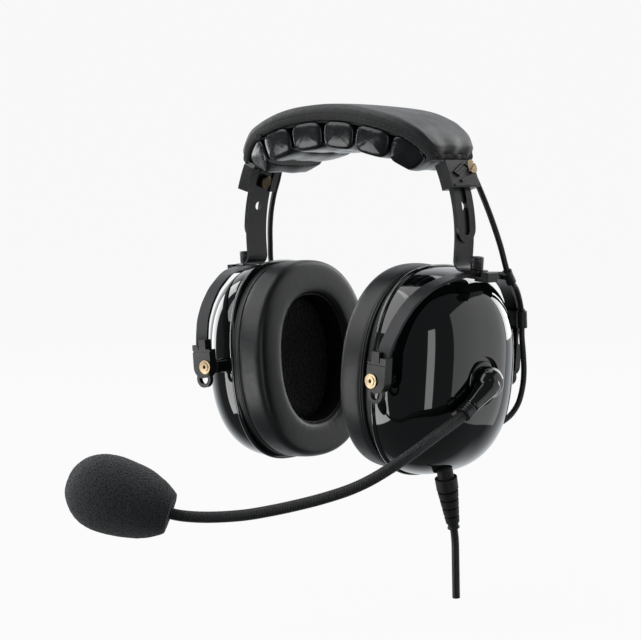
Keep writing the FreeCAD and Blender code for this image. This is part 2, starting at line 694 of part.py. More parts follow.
# (fraction of the seal's depth from the baffle, inset from its full size)
SEAL_PROFILE = [(0.0, 1.6), (0.18, 0.3), (0.45, 0.0), (0.72, 0.5), (0.9, 3.0), (1.0, 7.5)]


def build_ear_seal():
    seal = oval_loft([(SEAL_X - f * SEAL_T, SEAL_A - inset, SEAL_B - inset)
                      for f, inset in SEAL_PROFILE], SEAL_N)
    opening = oval_loft([(x, OPEN_A, OPEN_B) for x in (SEAL_X + 3, SEAL_X - SEAL_T - 3)],
                        PLATE_N, True)
    save_pair(seal.cut(opening), "ear_seal", SIDE)


def build_ear_liner():
    """Thin foam sheet in the ear opening."""
    liner = oval_loft([(x, OPEN_A - 0.25, OPEN_B - 0.25)
                       for x in (SEAL_X - 3.0, SEAL_X - 0.02)], PLATE_N, True)
    save_pair(liner, "ear_liner", SIDE)


# (radius, distance outwards from the baffle): frame, basket and magnet in one; the cone
SPEAKER_PROFILE = [
    (25.5, 0.0), (25.5, 2.4), (21.0, 2.4), (18.0, 7.2), (18.0, 7.6), (15.5, 7.6), (15.5, 15.0),
    (0.0, 15.0), (0.0, 6.4), (14.0, 6.4), (18.6, 1.4), (18.6, 0.0)]
CONE_PROFILE = [(18.4, 0.3), (18.4, 1.0), (13.6, 5.6), (0.0, 4.2), (0.0, 3.6), (13.2, 4.9),
                (17.6, 0.3)]


def build_speaker():
    base = Vec(DOME_X + 0.02, 0, CUP_Z)
    save_pair(turned(SPEAKER_PROFILE, base), "speaker", SIDE)
    save_pair(turned(CONE_PROFILE, base), "speaker_cone", SIDE)


def build_cup_foam():
    """Sound-deadening foam behind the speaker, cleared for the cable."""
    foam = oval_loft([(-9.8, 33.5, 40.5), (-6.0, 33.5, 40.5), (-1.6, 31.5, 38.0)],
                     PLATE_N, True)
    save_pair(foam.cut(pipe([CABLE_PATH], CROSS_R + 0.1)), "cup_foam", SIDE)


def build_pivot_screws():
    """Tilt screws with eyelet heads outside the pivot blocks."""
    screws = []
    for sign, near, far in PIVOT_SIDES:
        head = far + 0.04
        screw = pivot_cylinder(PIN_D / 2, head + 0.3 - 40.0, sign, 40.0)
        screw = screw.fuse(pivot_cylinder(EYELET_D / 2, 0.75, sign, head))
        screw = screw.fuse(pivot_cylinder(2.35, 1.1, sign, head))
        screws.append(tidy(screw.cut(pivot_cylinder(0.95, 3, sign, head - 0.6))))
    save_pair(screws, "pivot_screws", SIDE)


# ---------------------------------------------------------------- cord (left cup, side frame)
BOOT_LEN = 36.5
BOOT_COLLAR = 8.7           # start of the wide collar along the boot
BOOT_COLLAR_L = 6.2
BOOT_RIBS = 4
RIB_PITCH = 4.6
RIB_TAPER = 0.5             # drop in radius from rib to rib
CORD_DIR = unit(Vec(1.0, 3.4, -38.0))


def build_cord_boot():
    z = BOOT_COLLAR + BOOT_COLLAR_L
    radius = 5.45
    profile = [(0, 0), (4.15, 0.0), (4.15, BOOT_COLLAR), (5.75, BOOT_COLLAR), (5.6, z)]
    for i in range(BOOT_RIBS):
        profile += [(radius - 1.2, z), (radius - 1.35, z + 1.3),
                    (radius - 0.1, z + 1.3), (radius - 0.45, z + RIB_PITCH)]
        z += RIB_PITCH
        radius -= RIB_TAPER
    profile += [(2.9, z), (2.75, BOOT_LEN - 1.2), (3.2, BOOT_LEN - 0.4), (3.1, BOOT_LEN),
                (0, BOOT_LEN)]
    face = Part.Face(closed([Vec(r, 0, height) for r, height in profile]))
    boot = face.revolve(Vec(0, 0, 0), Z_DIR, 360)
    boot = boot.cut(cylinder(CORD_R + 0.05, BOOT_LEN + 2, Vec(0, 0, -1)))
    turn = FreeCAD.Rotation(Z_DIR, BOOT_DIR)
    save(placed(tidy(boot), FreeCAD.Placement(BOOT_TOP, turn)), "cord_boot_left", SIDE)


def build_cord():
    start = BOOT_TOP - BOOT_DIR * 3.0
    bend_start = BOOT_TOP + BOOT_DIR * (BOOT_LEN + 0.6)
    bend_end = bend_start + (BOOT_DIR + CORD_DIR) * 5.0
    path = [Part.makeLine(start, bend_start),
            spline([bend_start, bend_end], BOOT_DIR * 10.0, CORD_DIR * 10.0),
            Part.makeLine(bend_end, bend_end + CORD_DIR * 27.0)]
    save(pipe(path, CORD_R), "cord_left", SIDE)


# ---------------------------------------------------------------- boom (left cup)
def tail_point(distance):
    """Point on the elbow tail's axis, side frame."""
    return BOOM_CENTRE + X_DIR * ELBOW_X + TAIL_DIR * distance


def tail_cylinder(radius, length, distance):
    return cylinder(radius, length, tail_point(distance), TAIL_DIR)


def build_boom_elbow():
    """Shaft, flange and rounded turret about the swivel axis, and a tapering tail."""
    shaft_r, flange_x = SHAFT_D / 2, LAND_X + 0.1
    turret_x = ELBOW_X - 1.0
    profile = [(0.0, -1.6), (shaft_r, -1.6), (shaft_r, flange_x), (10.2, flange_x),
               (10.2, flange_x + 0.8), (9.5, flange_x + 1.5), (8.3, flange_x + 1.8),
               (8.3, turret_x)]
    for i in range(1, 6):
        turn = 15.0 * i * DEG
        profile.append((2.4 + 5.9 * math.cos(turn), turret_x + 5.9 * math.sin(turn)))
    profile += [(2.4, turret_x + 5.9), (0.0, turret_x + 5.9)]
    tail = Part.makeCone(5.7, 3.9, 18.2, tail_point(0.8), TAIL_DIR)
    elbow = turned(profile, BOOM_CENTRE).fuse(tail)
    save(elbow.cut(tail_cylinder(TUBE_R + 0.02, 8, SOCKET_START)), "boom_elbow", SIDE)


def build_boom_collar():
    """Collar over the tube beyond the elbow, with three grooves."""
    start = 19.05
    collar = tail_cylinder(4.1, 6.4, start)
    collar = collar.makeChamfer(0.5, circle_edges(collar))
    collar = collar.cut(tail_cylinder(TUBE_R + 0.02, 9, 18))
    for groove in (1.7, 3.2, 4.7):
        ring = tail_cylinder(4.6, 0.45, start + groove)
        collar = collar.cut(ring.cut(tail_cylinder(3.8, 0.45, start + groove)))
    save(collar, "boom_collar", SIDE)


def build_snap_ring():
    """Ring on the shaft, inside the cup."""
    ring = boom_cylinder(5.8, 1.2, LAND_X - 4.5)
    ring = ring.cut(boom_cylinder(SHAFT_D / 2 + 0.02, 3, LAND_X - 5))
    save(ring, "boom_snap_ring", SIDE)


# (x, y, z) of the gooseneck in the row frame: to the flex point, and beyond it
BOOM_ROW = [(84.6, -46.4, -26.4), (82.4, -59.6, -32.4), (78.0, -70.8, -38.4),
            (72.0, -78.2, -43.6), (65.0, -84.4, -47.8), (56.0, -91.8, -51.6)]
BOOM_ROW2 = [(47.0, -99.2, -54.6), (36.0, -108.2, -57.6), (26.0, -116.6, -59.6),
             (13.0, -127.2, -60.4), (4.0, -134.6, -59.6)]
FLEX_POINT = Vec(*BOOM_ROW[-1])
FLEX_DIR = unit(Vec(*BOOM_ROW2[0]) - Vec(*BOOM_ROW[-2]))

MIC_NECK = Vec(0.0, -138.0, -58.5)
MIC_TIP = Vec(-39.0, -167.0, -43.0)
MIC_LENGTH = (MIC_TIP - MIC_NECK).Length
MIC_AXIS = unit(MIC_TIP - MIC_NECK)


def build_boom_inner():
    """Gooseneck from inside the elbow to a socket at the flex point."""
    start = SIDE.multVec(tail_point(SOCKET_START + 0.1))
    bend = SIDE.multVec(tail_point(25.5))
    curve = spline([bend] + [Vec(*p) for p in BOOM_ROW],
                   unit(bend - start) * 10.0, FLEX_DIR * 10.0)
    tube = pipe([Part.makeLine(start, bend), curve], TUBE_R)
    tube = tube.cut(Part.makeSphere(TUBE_R + 0.1, FLEX_POINT))
    tube = tube.cut(cylinder(9, 9, FLEX_POINT - FLEX_DIR * 1.35, FLEX_DIR))
    save(tube, "boom_inner")


def build_boom_outer():
    """Gooseneck from its ball end at the flex point into the windscreen."""
    neck = MIC_NECK + MIC_AXIS * 0.5
    curve = spline([FLEX_POINT] + [Vec(*p) for p in BOOM_ROW2] + [neck],
                   FLEX_DIR * 10.0, MIC_AXIS * 10.0)
    tube = pipe([curve, Part.makeLine(neck, MIC_NECK + MIC_AXIS * 8.0)], TUBE_R)
    save(tube.fuse(Part.makeSphere(TUBE_R, FLEX_POINT)), "boom_outer")


# ---------------------------------------------------------------- microphone
def mic_cylinder(radius, length, distance):
    return cylinder(radius, length, MIC_NECK + MIC_AXIS * distance, MIC_AXIS)


def build_mic_housing():
    housing = mic_cylinder(5.4, 13.0, 6.0)
    housing = housing.makeFillet(0.8, circle_edges(housing))
    housing = housing.cut(mic_cylinder(TUBE_R + 0.02, 3.0, 5.2))
    save(housing.cut(mic_cylinder(4.8, 6.0, 14.4)), "mic_housing")


def build_mic_capsule():
    """Disc with a circle of six small holes in its end."""
    capsule = mic_cylinder(4.75, 5.2, 14.45)
    across = unit(MIC_AXIS.cross(Z_DIR))
    other = MIC_AXIS.cross(across)
    for i in range(6):
        turn = 2 * math.pi * i / 6
        base = (MIC_NECK + MIC_AXIS * 19.0 + across * (2.6 * math.cos(turn))
                + other * (2.6 * math.sin(turn)))
        capsule = capsule.cut(cylinder(0.5, 2, base, MIC_AXIS))
    save(capsule, "mic_capsule")


# (distance from the neck in 51sts of the length, radius)
WINDSCREEN_PROFILE = [
    (0.0, 9.6), (2.0, 11.2), (7.0, 14.0), (14.0, 16.4), (22.0, 17.9), (30.0, 18.4),
    (37.0, 17.4), (43.0, 14.6), (47.5, 10.2), (50.0, 5.6)]


def build_windscreen():
    """Foam egg with a flat neck, hollow for the microphone."""
    points = [Vec(r, 0, z * MIC_LENGTH / 51.0) for z, r in WINDSCREEN_PROFILE]
    # the curve stops just off the axis
    base, top, near_top = Vec(0, 0, 0), Vec(0, 0, MIC_LENGTH), Vec(0.02, 0, MIC_LENGTH)
    curve = spline(points + [near_top], Vec(1, 0, 1.2), Vec(-1, 0, 0))
    outline = Part.Wire([Part.makeLine(base, points[0]), curve,
                         Part.makeLine(near_top, top), Part.makeLine(top, base)])
    egg = Part.Face(outline).revolve(base, Z_DIR, 360)
    egg = egg.cut(cylinder(TUBE_R + 0.15, 8, Vec(0, 0, -1)))
    egg = egg.cut(cylinder(5.5, 15.2, Vec(0, 0, 5.2)))
    turn = FreeCAD.Rotation(Z_DIR, MIC_AXIS)
    save(egg, "mic_windscreen", FreeCAD.Placement(MIC_NECK, turn))


# ---------------------------------------------------------------- head pad
PAD_S = LEN_TOP + LEN_SHOULDER - 1.6    # half length along the band
CELLS_LEN = 2 * (PAD_S - 1.2)
CELL_GAP = 0.35                         # at each end of a cell

# (fraction of the half width in y, fullness) of each section of a cell
CELL_SECTIONS = ((-1.0, 0.70), (-0.93, 0.90), (-0.75, 0.985), (-0.3, 1.0),
                 (0.3, 1.0), (0.75, 0.985), (0.93, 0.90), (1.0, 0.70))
# (fraction along the band, fraction of depth): flat at the base, bulging below
CELL_OUTLINE = ((0.0, 0.0), (0.5, 0.0), (1.0, 0.0), (1.0, 0.35), (0.96, 0.65), (0.82, 0.88),
                (0.5, 1.0), (0.18, 0.88), (0.04, 0.65), (0.0, 0.35))


def pad_half(s):
    """Half width of the pad at an arc length from the middle."""
    k = abs(s) / PAD_S
    narrowing = max(0.0, (k - 0.42) / 0.58) ** 1.7
    return PAD_HALF_END + (PAD_HALF_MID - PAD_HALF_END) * (1.0 - narrowing)


def stations(count, half_length):
    return [-half_length + 2 * half_length * i / (count - 1) for i in range(count)]


def build_pad_cover():
    wires = []
    for s in stations(33, PAD_S):
        half = pad_half(s)
        top = PAD_TOP_END + (PAD_TOP - PAD_TOP_END) * (1.0 - (abs(s) / PAD_S) ** 3)
        inner = half - BIND_T
        # (y, offset)
        profile = [(-half, BASE_LO), (-half, top - 3.2), (-half + 1.4, top - 0.9),
                   (-half + 5.0, top - 0.1), (0, top), (half - 5.0, top - 0.1),
                   (half - 1.4, top - 0.9), (half, top - 3.2), (half, BASE_LO),
                   (inner, BASE_LO), (inner, COVER_IN), (-inner, COVER_IN),
                   (-inner, BASE_LO)]
        wires.append(closed([band_point(s, offset, y) for y, offset in profile]))
    save(Part.makeLoft(wires, True, True), "head_pad_cover")


def build_pad_base():
    wires = []
    for s in stations(25, PAD_S):
        half = pad_half(s) - BIND_T - 0.1
        profile = ((-half, BASE_LO), (-half, BASE_HI), (half, BASE_HI), (half, BASE_LO))
        wires.append(closed([band_point(s, offset, y) for y, offset in profile]))
    save(Part.makeLoft(wires, True, True), "head_pad_base")


def cell_boundary(i):
    return -CELLS_LEN / 2 + CELLS_LEN * i / CELLS


def build_pad_cell(i):
    """Bolster cell under the base; cells are counted from the right."""
    start = cell_boundary(i) + CELL_GAP
    end = cell_boundary(i + 1) - CELL_GAP
    middle = 0.5 * (start + end)
    half = min(pad_half(start), pad_half(end), pad_half(middle)) - 1.2
    wires = []
    for y_fraction, full in CELL_SECTIONS:
        high = CELL_HI - 2.0 * (1 - full)
        low = CELL_HI + (CELL_LO - CELL_HI) * (0.5 + 0.5 * full)
        length = (end - start) * (0.75 + 0.25 * full)
        wires.append(closed([
            band_point(middle + (u - 0.5) * length, high + (low - high) * v,
                       y_fraction * half)
            for u, v in CELL_OUTLINE]))
    save(Part.makeLoft(wires, True, True), "head_pad_cell_%d" % (i + 1))


def build_pad_snaps():
    """Snap studs in the first and last pleats, front right and rear left."""
    snaps = []
    for i, sign in ((1, -1), (CELLS - 1, 1)):
        s = cell_boundary(i)
        base = band_point(s, -2.0, sign * (pad_half(s) + 0.02))
        snaps.append(cylinder(2.1, 1.0, base, Vec(0, sign, 0)))
    save(snaps, "head_pad_snaps")


def build_band_cable():
    """Crossover cable inside the pad, behind the band."""
    points = [band_point(s, -0.6, 10.6) for s in stations(17, LEN_TOP + LEN_SHOULDER - 5.9)]
    save(pipe([spline(points)], CROSS_R), "crossover_cable_band")


build_band()
build_side_strip()
build_arm_strip()
build_clamp_saddle()
build_clamp_screw()
build_clamp_nut()

build_stirrup_strip()
build_swivel_screw()
build_swivel_block()
build_pivot_blocks()
save_pair(pipe([CABLE_PATH], CROSS_R), "crossover_cable", SIDE)
build_cable_clips()

build_shells()
build_baffle()
build_ear_seal()
build_ear_liner()
build_speaker()
build_cup_foam()
build_pivot_screws()
build_cord_boot()
build_cord()

build_boom_elbow()
build_boom_collar()
build_snap_ring()
build_boom_inner()
build_boom_outer()
build_mic_housing()
build_mic_capsule()
build_windscreen()

build_pad_cover()
build_pad_base()
for cell in range(CELLS):
    build_pad_cell(cell)
build_pad_snaps()
build_band_cable()
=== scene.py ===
# An over-ear headset: a headband with a padded cover over six bolsters, two oval ear cups,
# a cable down each side, and a boom on the left cup that carries a microphone in foam.
#
# Lengths are millimetres until a mesh is made. In the row frame +X is the wearer's left, -Y the
# front and +Z up. The side frame belongs to the left side: from SIDE_ORIGIN, x points outward,
# y back and z up, all leaned and toed a little. Right-hand pieces mirror the left across X.
import math
from contextlib import contextmanager

import bmesh
import bpy
import numpy as np
from mathutils import Matrix, Vector, noise as vector_noise


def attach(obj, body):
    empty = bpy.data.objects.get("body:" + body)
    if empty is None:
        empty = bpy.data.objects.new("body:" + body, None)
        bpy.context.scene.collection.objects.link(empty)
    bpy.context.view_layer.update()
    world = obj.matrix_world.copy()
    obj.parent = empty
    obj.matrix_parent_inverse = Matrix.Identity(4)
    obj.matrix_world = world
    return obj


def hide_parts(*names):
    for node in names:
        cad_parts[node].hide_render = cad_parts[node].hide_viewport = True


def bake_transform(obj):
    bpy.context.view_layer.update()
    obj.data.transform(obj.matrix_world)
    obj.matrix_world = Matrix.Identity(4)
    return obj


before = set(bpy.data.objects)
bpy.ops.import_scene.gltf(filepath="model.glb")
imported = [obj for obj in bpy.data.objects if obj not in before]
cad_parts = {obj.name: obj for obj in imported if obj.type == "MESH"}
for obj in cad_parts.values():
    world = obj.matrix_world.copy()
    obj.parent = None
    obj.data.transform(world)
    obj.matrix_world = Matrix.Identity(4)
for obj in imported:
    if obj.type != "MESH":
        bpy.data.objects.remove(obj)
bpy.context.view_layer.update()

DEG = math.pi / 180.0
MM = 0.001
rng = np.random.RandomState(11)


# ------------------------------------------------------------------ small maths
def vec(*values):
    return np.array(values, float)


def unit(vector):
    return vector / np.linalg.norm(vector)


def unit_rows(vectors):
    return vectors / np.linalg.norm(vectors, axis=1)[:, None]


def smooth(k):
    k = np.clip(k, 0.0, 1.0)
    return k * k * (3 - 2 * k)


def signed_power(value, power):
    return np.sign(value) * np.abs(value) ** power


def mirror(points):
    return np.asarray(points, float) * vec(-1, 1, 1)


X_AXIS, Z_AXIS = vec(1, 0, 0), vec(0, 0, 1)

# ------------------------------------------------------------------ driving dimensions
# The band is an arc over the head that runs into a tighter shoulder arc on each side.
TOP_RADIUS, TOP_ANGLE = 134.5, 20.0         # the angle is from the middle to one end
SHOULDER_RADIUS, HINGE_ANGLE = 31.1, 26.0   # the shoulder stops this far above horizontal
BAND_TOP_Z = 130.0
TOP_CENTER = vec(0, 0, BAND_TOP_Z - TOP_RADIUS)
SHOULDER_START = 90.0 - TOP_ANGLE
SHOULDER_CENTER = TOP_CENTER + (TOP_RADIUS - SHOULDER_RADIUS) * vec(
    math.sin(TOP_ANGLE * DEG), 0, math.cos(TOP_ANGLE * DEG))
TOP_LENGTH = TOP_RADIUS * TOP_ANGLE * DEG
SHOULDER_LENGTH = SHOULDER_RADIUS * (SHOULDER_START - HINGE_ANGLE) * DEG

PAD_REACH = TOP_LENGTH + SHOULDER_LENGTH - 1.6  # arc length from the middle to one end
PAD_TOP_MID, PAD_TOP_END = 6.6, 5.0             # height over the band
PAD_HALF_MID, PAD_HALF_END = 28.0, 16.5         # half width, front to back

SIDE_ORIGIN = vec(77.84, 0.0, 51.35)
LEAN, TOE = 4.4 * DEG, 2.8 * DEG
SIDE_X = vec(math.cos(LEAN) * math.cos(TOE), -math.sin(TOE), -math.sin(LEAN) * math.cos(TOE))
SIDE_Y = vec(math.cos(LEAN) * math.sin(TOE), math.cos(TOE), -math.sin(LEAN) * math.sin(TOE))
SIDE_Z = vec(math.sin(LEAN), 0.0, math.cos(LEAN))
SIDE_AXES = np.array([SIDE_X, SIDE_Y, SIDE_Z])

# Each cup is centred on CUP_Z. Half sizes are (y, z); exponents are of superellipses.
CUP_Z = -52.9
DOME_X, DOME_DEPTH = -25.8, 35.6                # rim plane, and from there out to the crown
DOME_HALF_Y, DOME_HALF_Z = 45.3, 53.0
DOME_OUTLINE, DOME_PROFILE = 2.55, 2.5          # exponents
BAFFLE_THICKNESS, SEAL_THICKNESS, JOINT_GAP = 3.0, 17.6, 0.02
SEAL_BACK_X = DOME_X - JOINT_GAP - BAFFLE_THICKNESS - JOINT_GAP

LAND_X, BOOM_Y, BOOM_Z = 7.6, -1.0, -54.0       # flat on the left dome that the boom turns on
RIB_PITCH = 1.25                                # windings of the boom sleeve


def side_to_row(points):
    return SIDE_ORIGIN + np.asarray(points, float) @ SIDE_AXES


def row_to_side(points):
    return (np.asarray(points, float) - SIDE_ORIGIN) @ SIDE_AXES.T


def pad_point(s, y, height):
    """Row-frame point at arc length s from the band's middle (+ is left), height over it."""
    along = abs(s)
    if along <= TOP_LENGTH:
        angle = 90.0 - along / TOP_RADIUS / DEG
        center, radius = TOP_CENTER, TOP_RADIUS
    else:
        angle = SHOULDER_START - (along - TOP_LENGTH) / SHOULDER_RADIUS / DEG
        center, radius = SHOULDER_CENTER, SHOULDER_RADIUS
    normal = vec(math.cos(angle * DEG), 0, math.sin(angle * DEG))
    point = center + normal * radius
    if s < 0:
        point, normal = mirror(point), mirror(normal)
    return point + normal * height + vec(0, y, 0)


def pad_half(s):
    """Half width, full in the middle and tapered over the outer 58 % of the reach."""
    taper = max(0.0, (abs(s) / PAD_REACH - 0.42) / 0.58) ** 1.7
    return PAD_HALF_END + (PAD_HALF_MID - PAD_HALF_END) * (1.0 - taper)


def pad_top(s):
    return PAD_TOP_END + (PAD_TOP_MID - PAD_TOP_END) * (1.0 - (abs(s) / PAD_REACH) ** 3)


# ------------------------------------------------------------------ curves
def arc_lengths(points):
    return np.r_[0, np.cumsum(np.linalg.norm(np.diff(points, axis=0), axis=1))]


def smooth_curve(points, count):
    """count points at equal steps along a centripetal Catmull-Rom curve through points."""
    def between(start, end, t_start, t_end, t):
        span = t_end - t_start
        return (t_end - t) / span * start + (t - t_start) / span * end

    points = np.asarray(points, float)
    points = np.vstack([2 * points[0] - points[1], points, 2 * points[-1] - points[-2]])
    curve = []
    for i in range(1, len(points) - 2):
        p0, p1, p2, p3 = points[i - 1:i + 3]
        t1 = np.linalg.norm(p1 - p0) ** 0.5
        t2 = t1 + np.linalg.norm(p2 - p1) ** 0.5
        t3 = t2 + np.linalg.norm(p3 - p2) ** 0.5
        for t in np.linspace(t1, t2, 24, endpoint=False):
            a1 = between(p0, p1, 0.0, t1, t)
            a2 = between(p1, p2, t1, t2, t)
            a3 = between(p2, p3, t2, t3, t)
            b1 = between(a1, a2, 0.0, t2, t)
            b2 = between(a2, a3, t1, t3, t)
            curve.append(between(b1, b2, t1, t2, t))
    curve = np.array(curve + [points[-2]])
    lengths = arc_lengths(curve)
    wanted = np.linspace(0, lengths[-1], count)
    return np.stack([np.interp(wanted, lengths, curve[:, k]) for k in range(3)], 1)


def nearest(path, point):
    return int(np.argmin(np.linalg.norm(path - vec(*point), axis=1)))


def oval(half_y, half_z, exponent, angles):
    return (half_y * signed_power(np.cos(angles), 2.0 / exponent),
            half_z * signed_power(np.sin(angles), 2.0 / exponent))


def even_oval(half_y, half_z, exponent, count):
    """y and z of count points at equal steps round an oval."""
    y, z = oval(half_y, half_z, exponent, np.linspace(0, 2 * math.pi, 2001))
    lengths = arc_lengths(np.stack([y, z], 1))
    wanted = np.linspace(0, lengths[-1], count, endpoint=False)
    return np.interp(wanted, lengths, y), np.interp(wanted, lengths, z)


def cross_axes(path):
    """Two directions square to the path at each point, carried along without twist."""
    tangents = unit_rows(np.gradient(path, axis=0))
    first = [unit(Z_AXIS - tangents[0] * (Z_AXIS @ tangents[0]))]
    for tangent in tangents[1:]:
        first.append(unit(first[-1] - tangent * (first[-1] @ tangent)))
    first = np.array(first)
    return first, np.cross(tangents, first)


def rings(path, radii, first, second, segments):
    """A ring of points round each path point, in the plane of two directions."""
    turn = np.linspace(0, 2 * math.pi, segments, endpoint=False)
    cos, sin = np.cos(turn)[:, None], np.sin(turn)[:, None]
    radii = np.broadcast_to(radii, len(path))
    first, second = np.broadcast_to(first, path.shape), np.broadcast_to(second, path.shape)
    return np.vstack([point + radius * (cos * a + sin * b)
                      for point, radius, a, b in zip(path, radii, first, second)])


def revolve(origin, axis, across, profile, segments):
    """Rings round an axis from (distance along it, radius) pairs."""
    profile = np.asarray(profile, float)
    path = origin + profile[:, :1] * axis
    return rings(path, profile[:, 1], across, np.cross(axis, across), segments)


# ------------------------------------------------------------------ meshes
def add_object(name, data):
    ob = bpy.data.objects.new(name, data)
    bpy.context.scene.collection.objects.link(ob)
    return ob


def shade_smooth(mesh):
    mesh.polygons.foreach_set("use_smooth", [True] * len(mesh.polygons))


def make(name, verts, faces, material=None, uvs=None):
    """Smooth-shaded object from millimetre points; uvs are per vertex."""
    mesh = bpy.data.meshes.new(name)
    mesh.from_pydata([tuple(v) for v in np.asarray(verts, float) * MM], [],
                     [tuple(int(i) for i in face) for face in faces])
    mesh.validate()
    mesh.update()
    if uvs is not None:
        corners = np.zeros(len(mesh.loops), np.int32)
        mesh.loops.foreach_get("vertex_index", corners)
        layer = mesh.uv_layers.new(name="UVMap")
        layer.data.foreach_set("uv", np.asarray(uvs, np.float32)[corners].ravel())
    shade_smooth(mesh)
    if material is not None:
        mesh.materials.append(MATERIALS[material])
    return add_object(name, mesh)


def mesh_points(mesh):
    return np.array([v.co for v in mesh.vertices], float) / MM


def set_points(mesh, points):
    mesh.vertices.foreach_set("co", (points * MM).astype(np.float32).ravel())
    mesh.update()


def set_material(mesh, name):
    mesh.materials.clear()
    mesh.materials.append(MATERIALS[name])


@contextmanager
def edit_mesh(ob):
    bm = bmesh.new()
    bm.from_mesh(ob.data)
    yield bm
    bm.to_mesh(ob.data)
    bm.free()


def sharpen(ob, degrees):
    """Stops smooth shading at open edges and at edges sharper than the angle."""
    with edit_mesh(ob) as bm:
        for edge in bm.edges:
            if len(edge.link_faces) != 2 or edge.calc_face_angle(0.0) > degrees * DEG:
                edge.smooth = False


def outward(ob):
    with edit_mesh(ob) as bm:
        bmesh.ops.recalc_face_normals(bm, faces=bm.faces)


def weld(ob, metres):
    with edit_mesh(ob) as bm:
        bmesh.ops.remove_doubles(bm, verts=bm.verts, dist=metres)


def grid_faces(rows, columns, close_rows=False, close_columns=False, flip=False):
    faces = []
    for i in range(rows if close_rows else rows - 1):
        for j in range(columns if close_columns else columns - 1):
            this, after = i * columns, (i + 1) % rows * columns
            k = (j + 1) % columns
            face = (this + j, after + j, after + k, this + k)
            faces.append((face[0], face[3], face[2], face[1]) if flip else face)
    return faces


def tube_faces(stations, segments):
    faces = grid_faces(stations, segments, close_columns=True, flip=True)
    faces.append(tuple(range(segments - 1, -1, -1)))
    faces.append(tuple(range((stations - 1) * segments, stations * segments)))
    return faces


def tube(name, path, radius, material, segments, squash=(1.0, 1.0)):
    """Capped tube along a path. U runs once round it, V is the length in mm."""
    path = np.asarray(path, float)
    first, second = cross_axes(path)
    verts = rings(path, radius, first * squash[0], second * squash[1], segments)
    uvs = [(k / segments, length) for length in arc_lengths(path) for k in range(segments)]
    ob = make(name, verts, tube_faces(len(path), segments), material, uvs)
    outward(ob)
    return ob


def lathe(name, origin, axis, profile, material=None, segments=48, up=Z_AXIS):
    """Turned piece from (distance along the axis, radius) pairs."""
    axis = unit(axis)
    across = unit(up - axis * (up @ axis))
    ob = make(name, revolve(origin, axis, across, profile, segments),
              grid_faces(len(profile), segments, close_columns=True), material)
    weld(ob, 1e-7)
    outward(ob)
    sharpen(ob, 32.0)
    return ob


def join(name, obs):
    for ob in bpy.context.selected_objects:
        ob.select_set(False)
    for ob in obs:
        ob.select_set(True)
    bpy.context.view_layer.objects.active = obs[0]
    bpy.ops.object.join()
    obs[0].name = name
    obs[0].data.name = name
    return obs[0]


def mirror_mesh(mesh):
    mesh.transform(Matrix.Scale(-1, 4, Vector((1, 0, 0))))
    mesh.flip_normals()


def apply_modifiers(ob):
    graph = bpy.context.evaluated_depsgraph_get()
    mesh = bpy.data.meshes.new_from_object(
        ob.evaluated_get(graph), preserve_all_data_layers=True, depsgraph=graph)
    old = ob.data
    ob.modifiers.clear()
    ob.data = mesh
    mesh.name = old.name


def subdivide(ob):
    modifier = ob.modifiers.new("subdiv", "SUBSURF")
    modifier.levels = 1
    modifier.boundary_smooth = "PRESERVE_CORNERS"
    apply_modifiers(ob)
    shade_smooth(ob.data)


def inflate(ob, pins, pressure, frame_count, cap, tension, quality):
    """Blows a skin up with cloth; pins are (vertex, weight), cap limits the travel in mm.

    The simulation runs on a copy ten times the size.
    """
    scale = 10.0
    rest = mesh_points(ob.data)
    mesh = ob.data.copy()
    mesh.transform(Matrix.Scale(scale, 4))
    sim = add_object("sim", mesh)
    group = sim.vertex_groups.new(name="pin")
    for i, weight in pins:
        group.add([i], weight, "REPLACE")
    cloth = sim.modifiers.new("cloth", "CLOTH")
    settings = cloth.settings
    settings.quality = quality
    settings.mass = 0.25
    settings.tension_stiffness = tension
    settings.compression_stiffness = tension
    settings.shear_stiffness = 6.0
    settings.bending_stiffness = 0.4
    settings.use_pressure = True
    settings.uniform_pressure_force = pressure
    settings.vertex_group_mass = "pin"
    settings.pin_stiffness = 1.0
    settings.shrink_min = 0.0
    settings.effector_weights.gravity = 0.0
    cloth.collision_settings.use_collision = False
    cloth.collision_settings.use_self_collision = False
    cloth.point_cache.frame_start = 1
    cloth.point_cache.frame_end = frame_count
    scene = bpy.context.scene
    frame_before = scene.frame_current
    for i in range(1, frame_count + 1):
        scene.frame_set(i)
    evaluated = sim.evaluated_get(bpy.context.evaluated_depsgraph_get())
    move = mesh_points(evaluated.to_mesh()) / scale - rest
    evaluated.to_mesh_clear()
    scene.frame_set(frame_before)
    travel = np.linalg.norm(move, axis=1)
    factor = np.where(travel > 1e-9,
                      cap * np.tanh(travel / cap) / np.maximum(travel, 1e-9), 1.0)
    bpy.data.objects.remove(sim)
    set_points(ob.data, rest + move * factor[:, None])


# ------------------------------------------------------------------ material layers
MATERIALS = {}


def add_node(tree, kind, inputs, **settings):
    """New node; an input is given either a value or the socket that feeds it."""
    node = tree.nodes.new(kind)
    for key, value in settings.items():
        setattr(node, key, value)
    for key, value in inputs.items():
        if isinstance(value, bpy.types.NodeSocket):
            tree.links.new(value, node.inputs[key])
        else:
            node.inputs[key].default_value = value
    return node


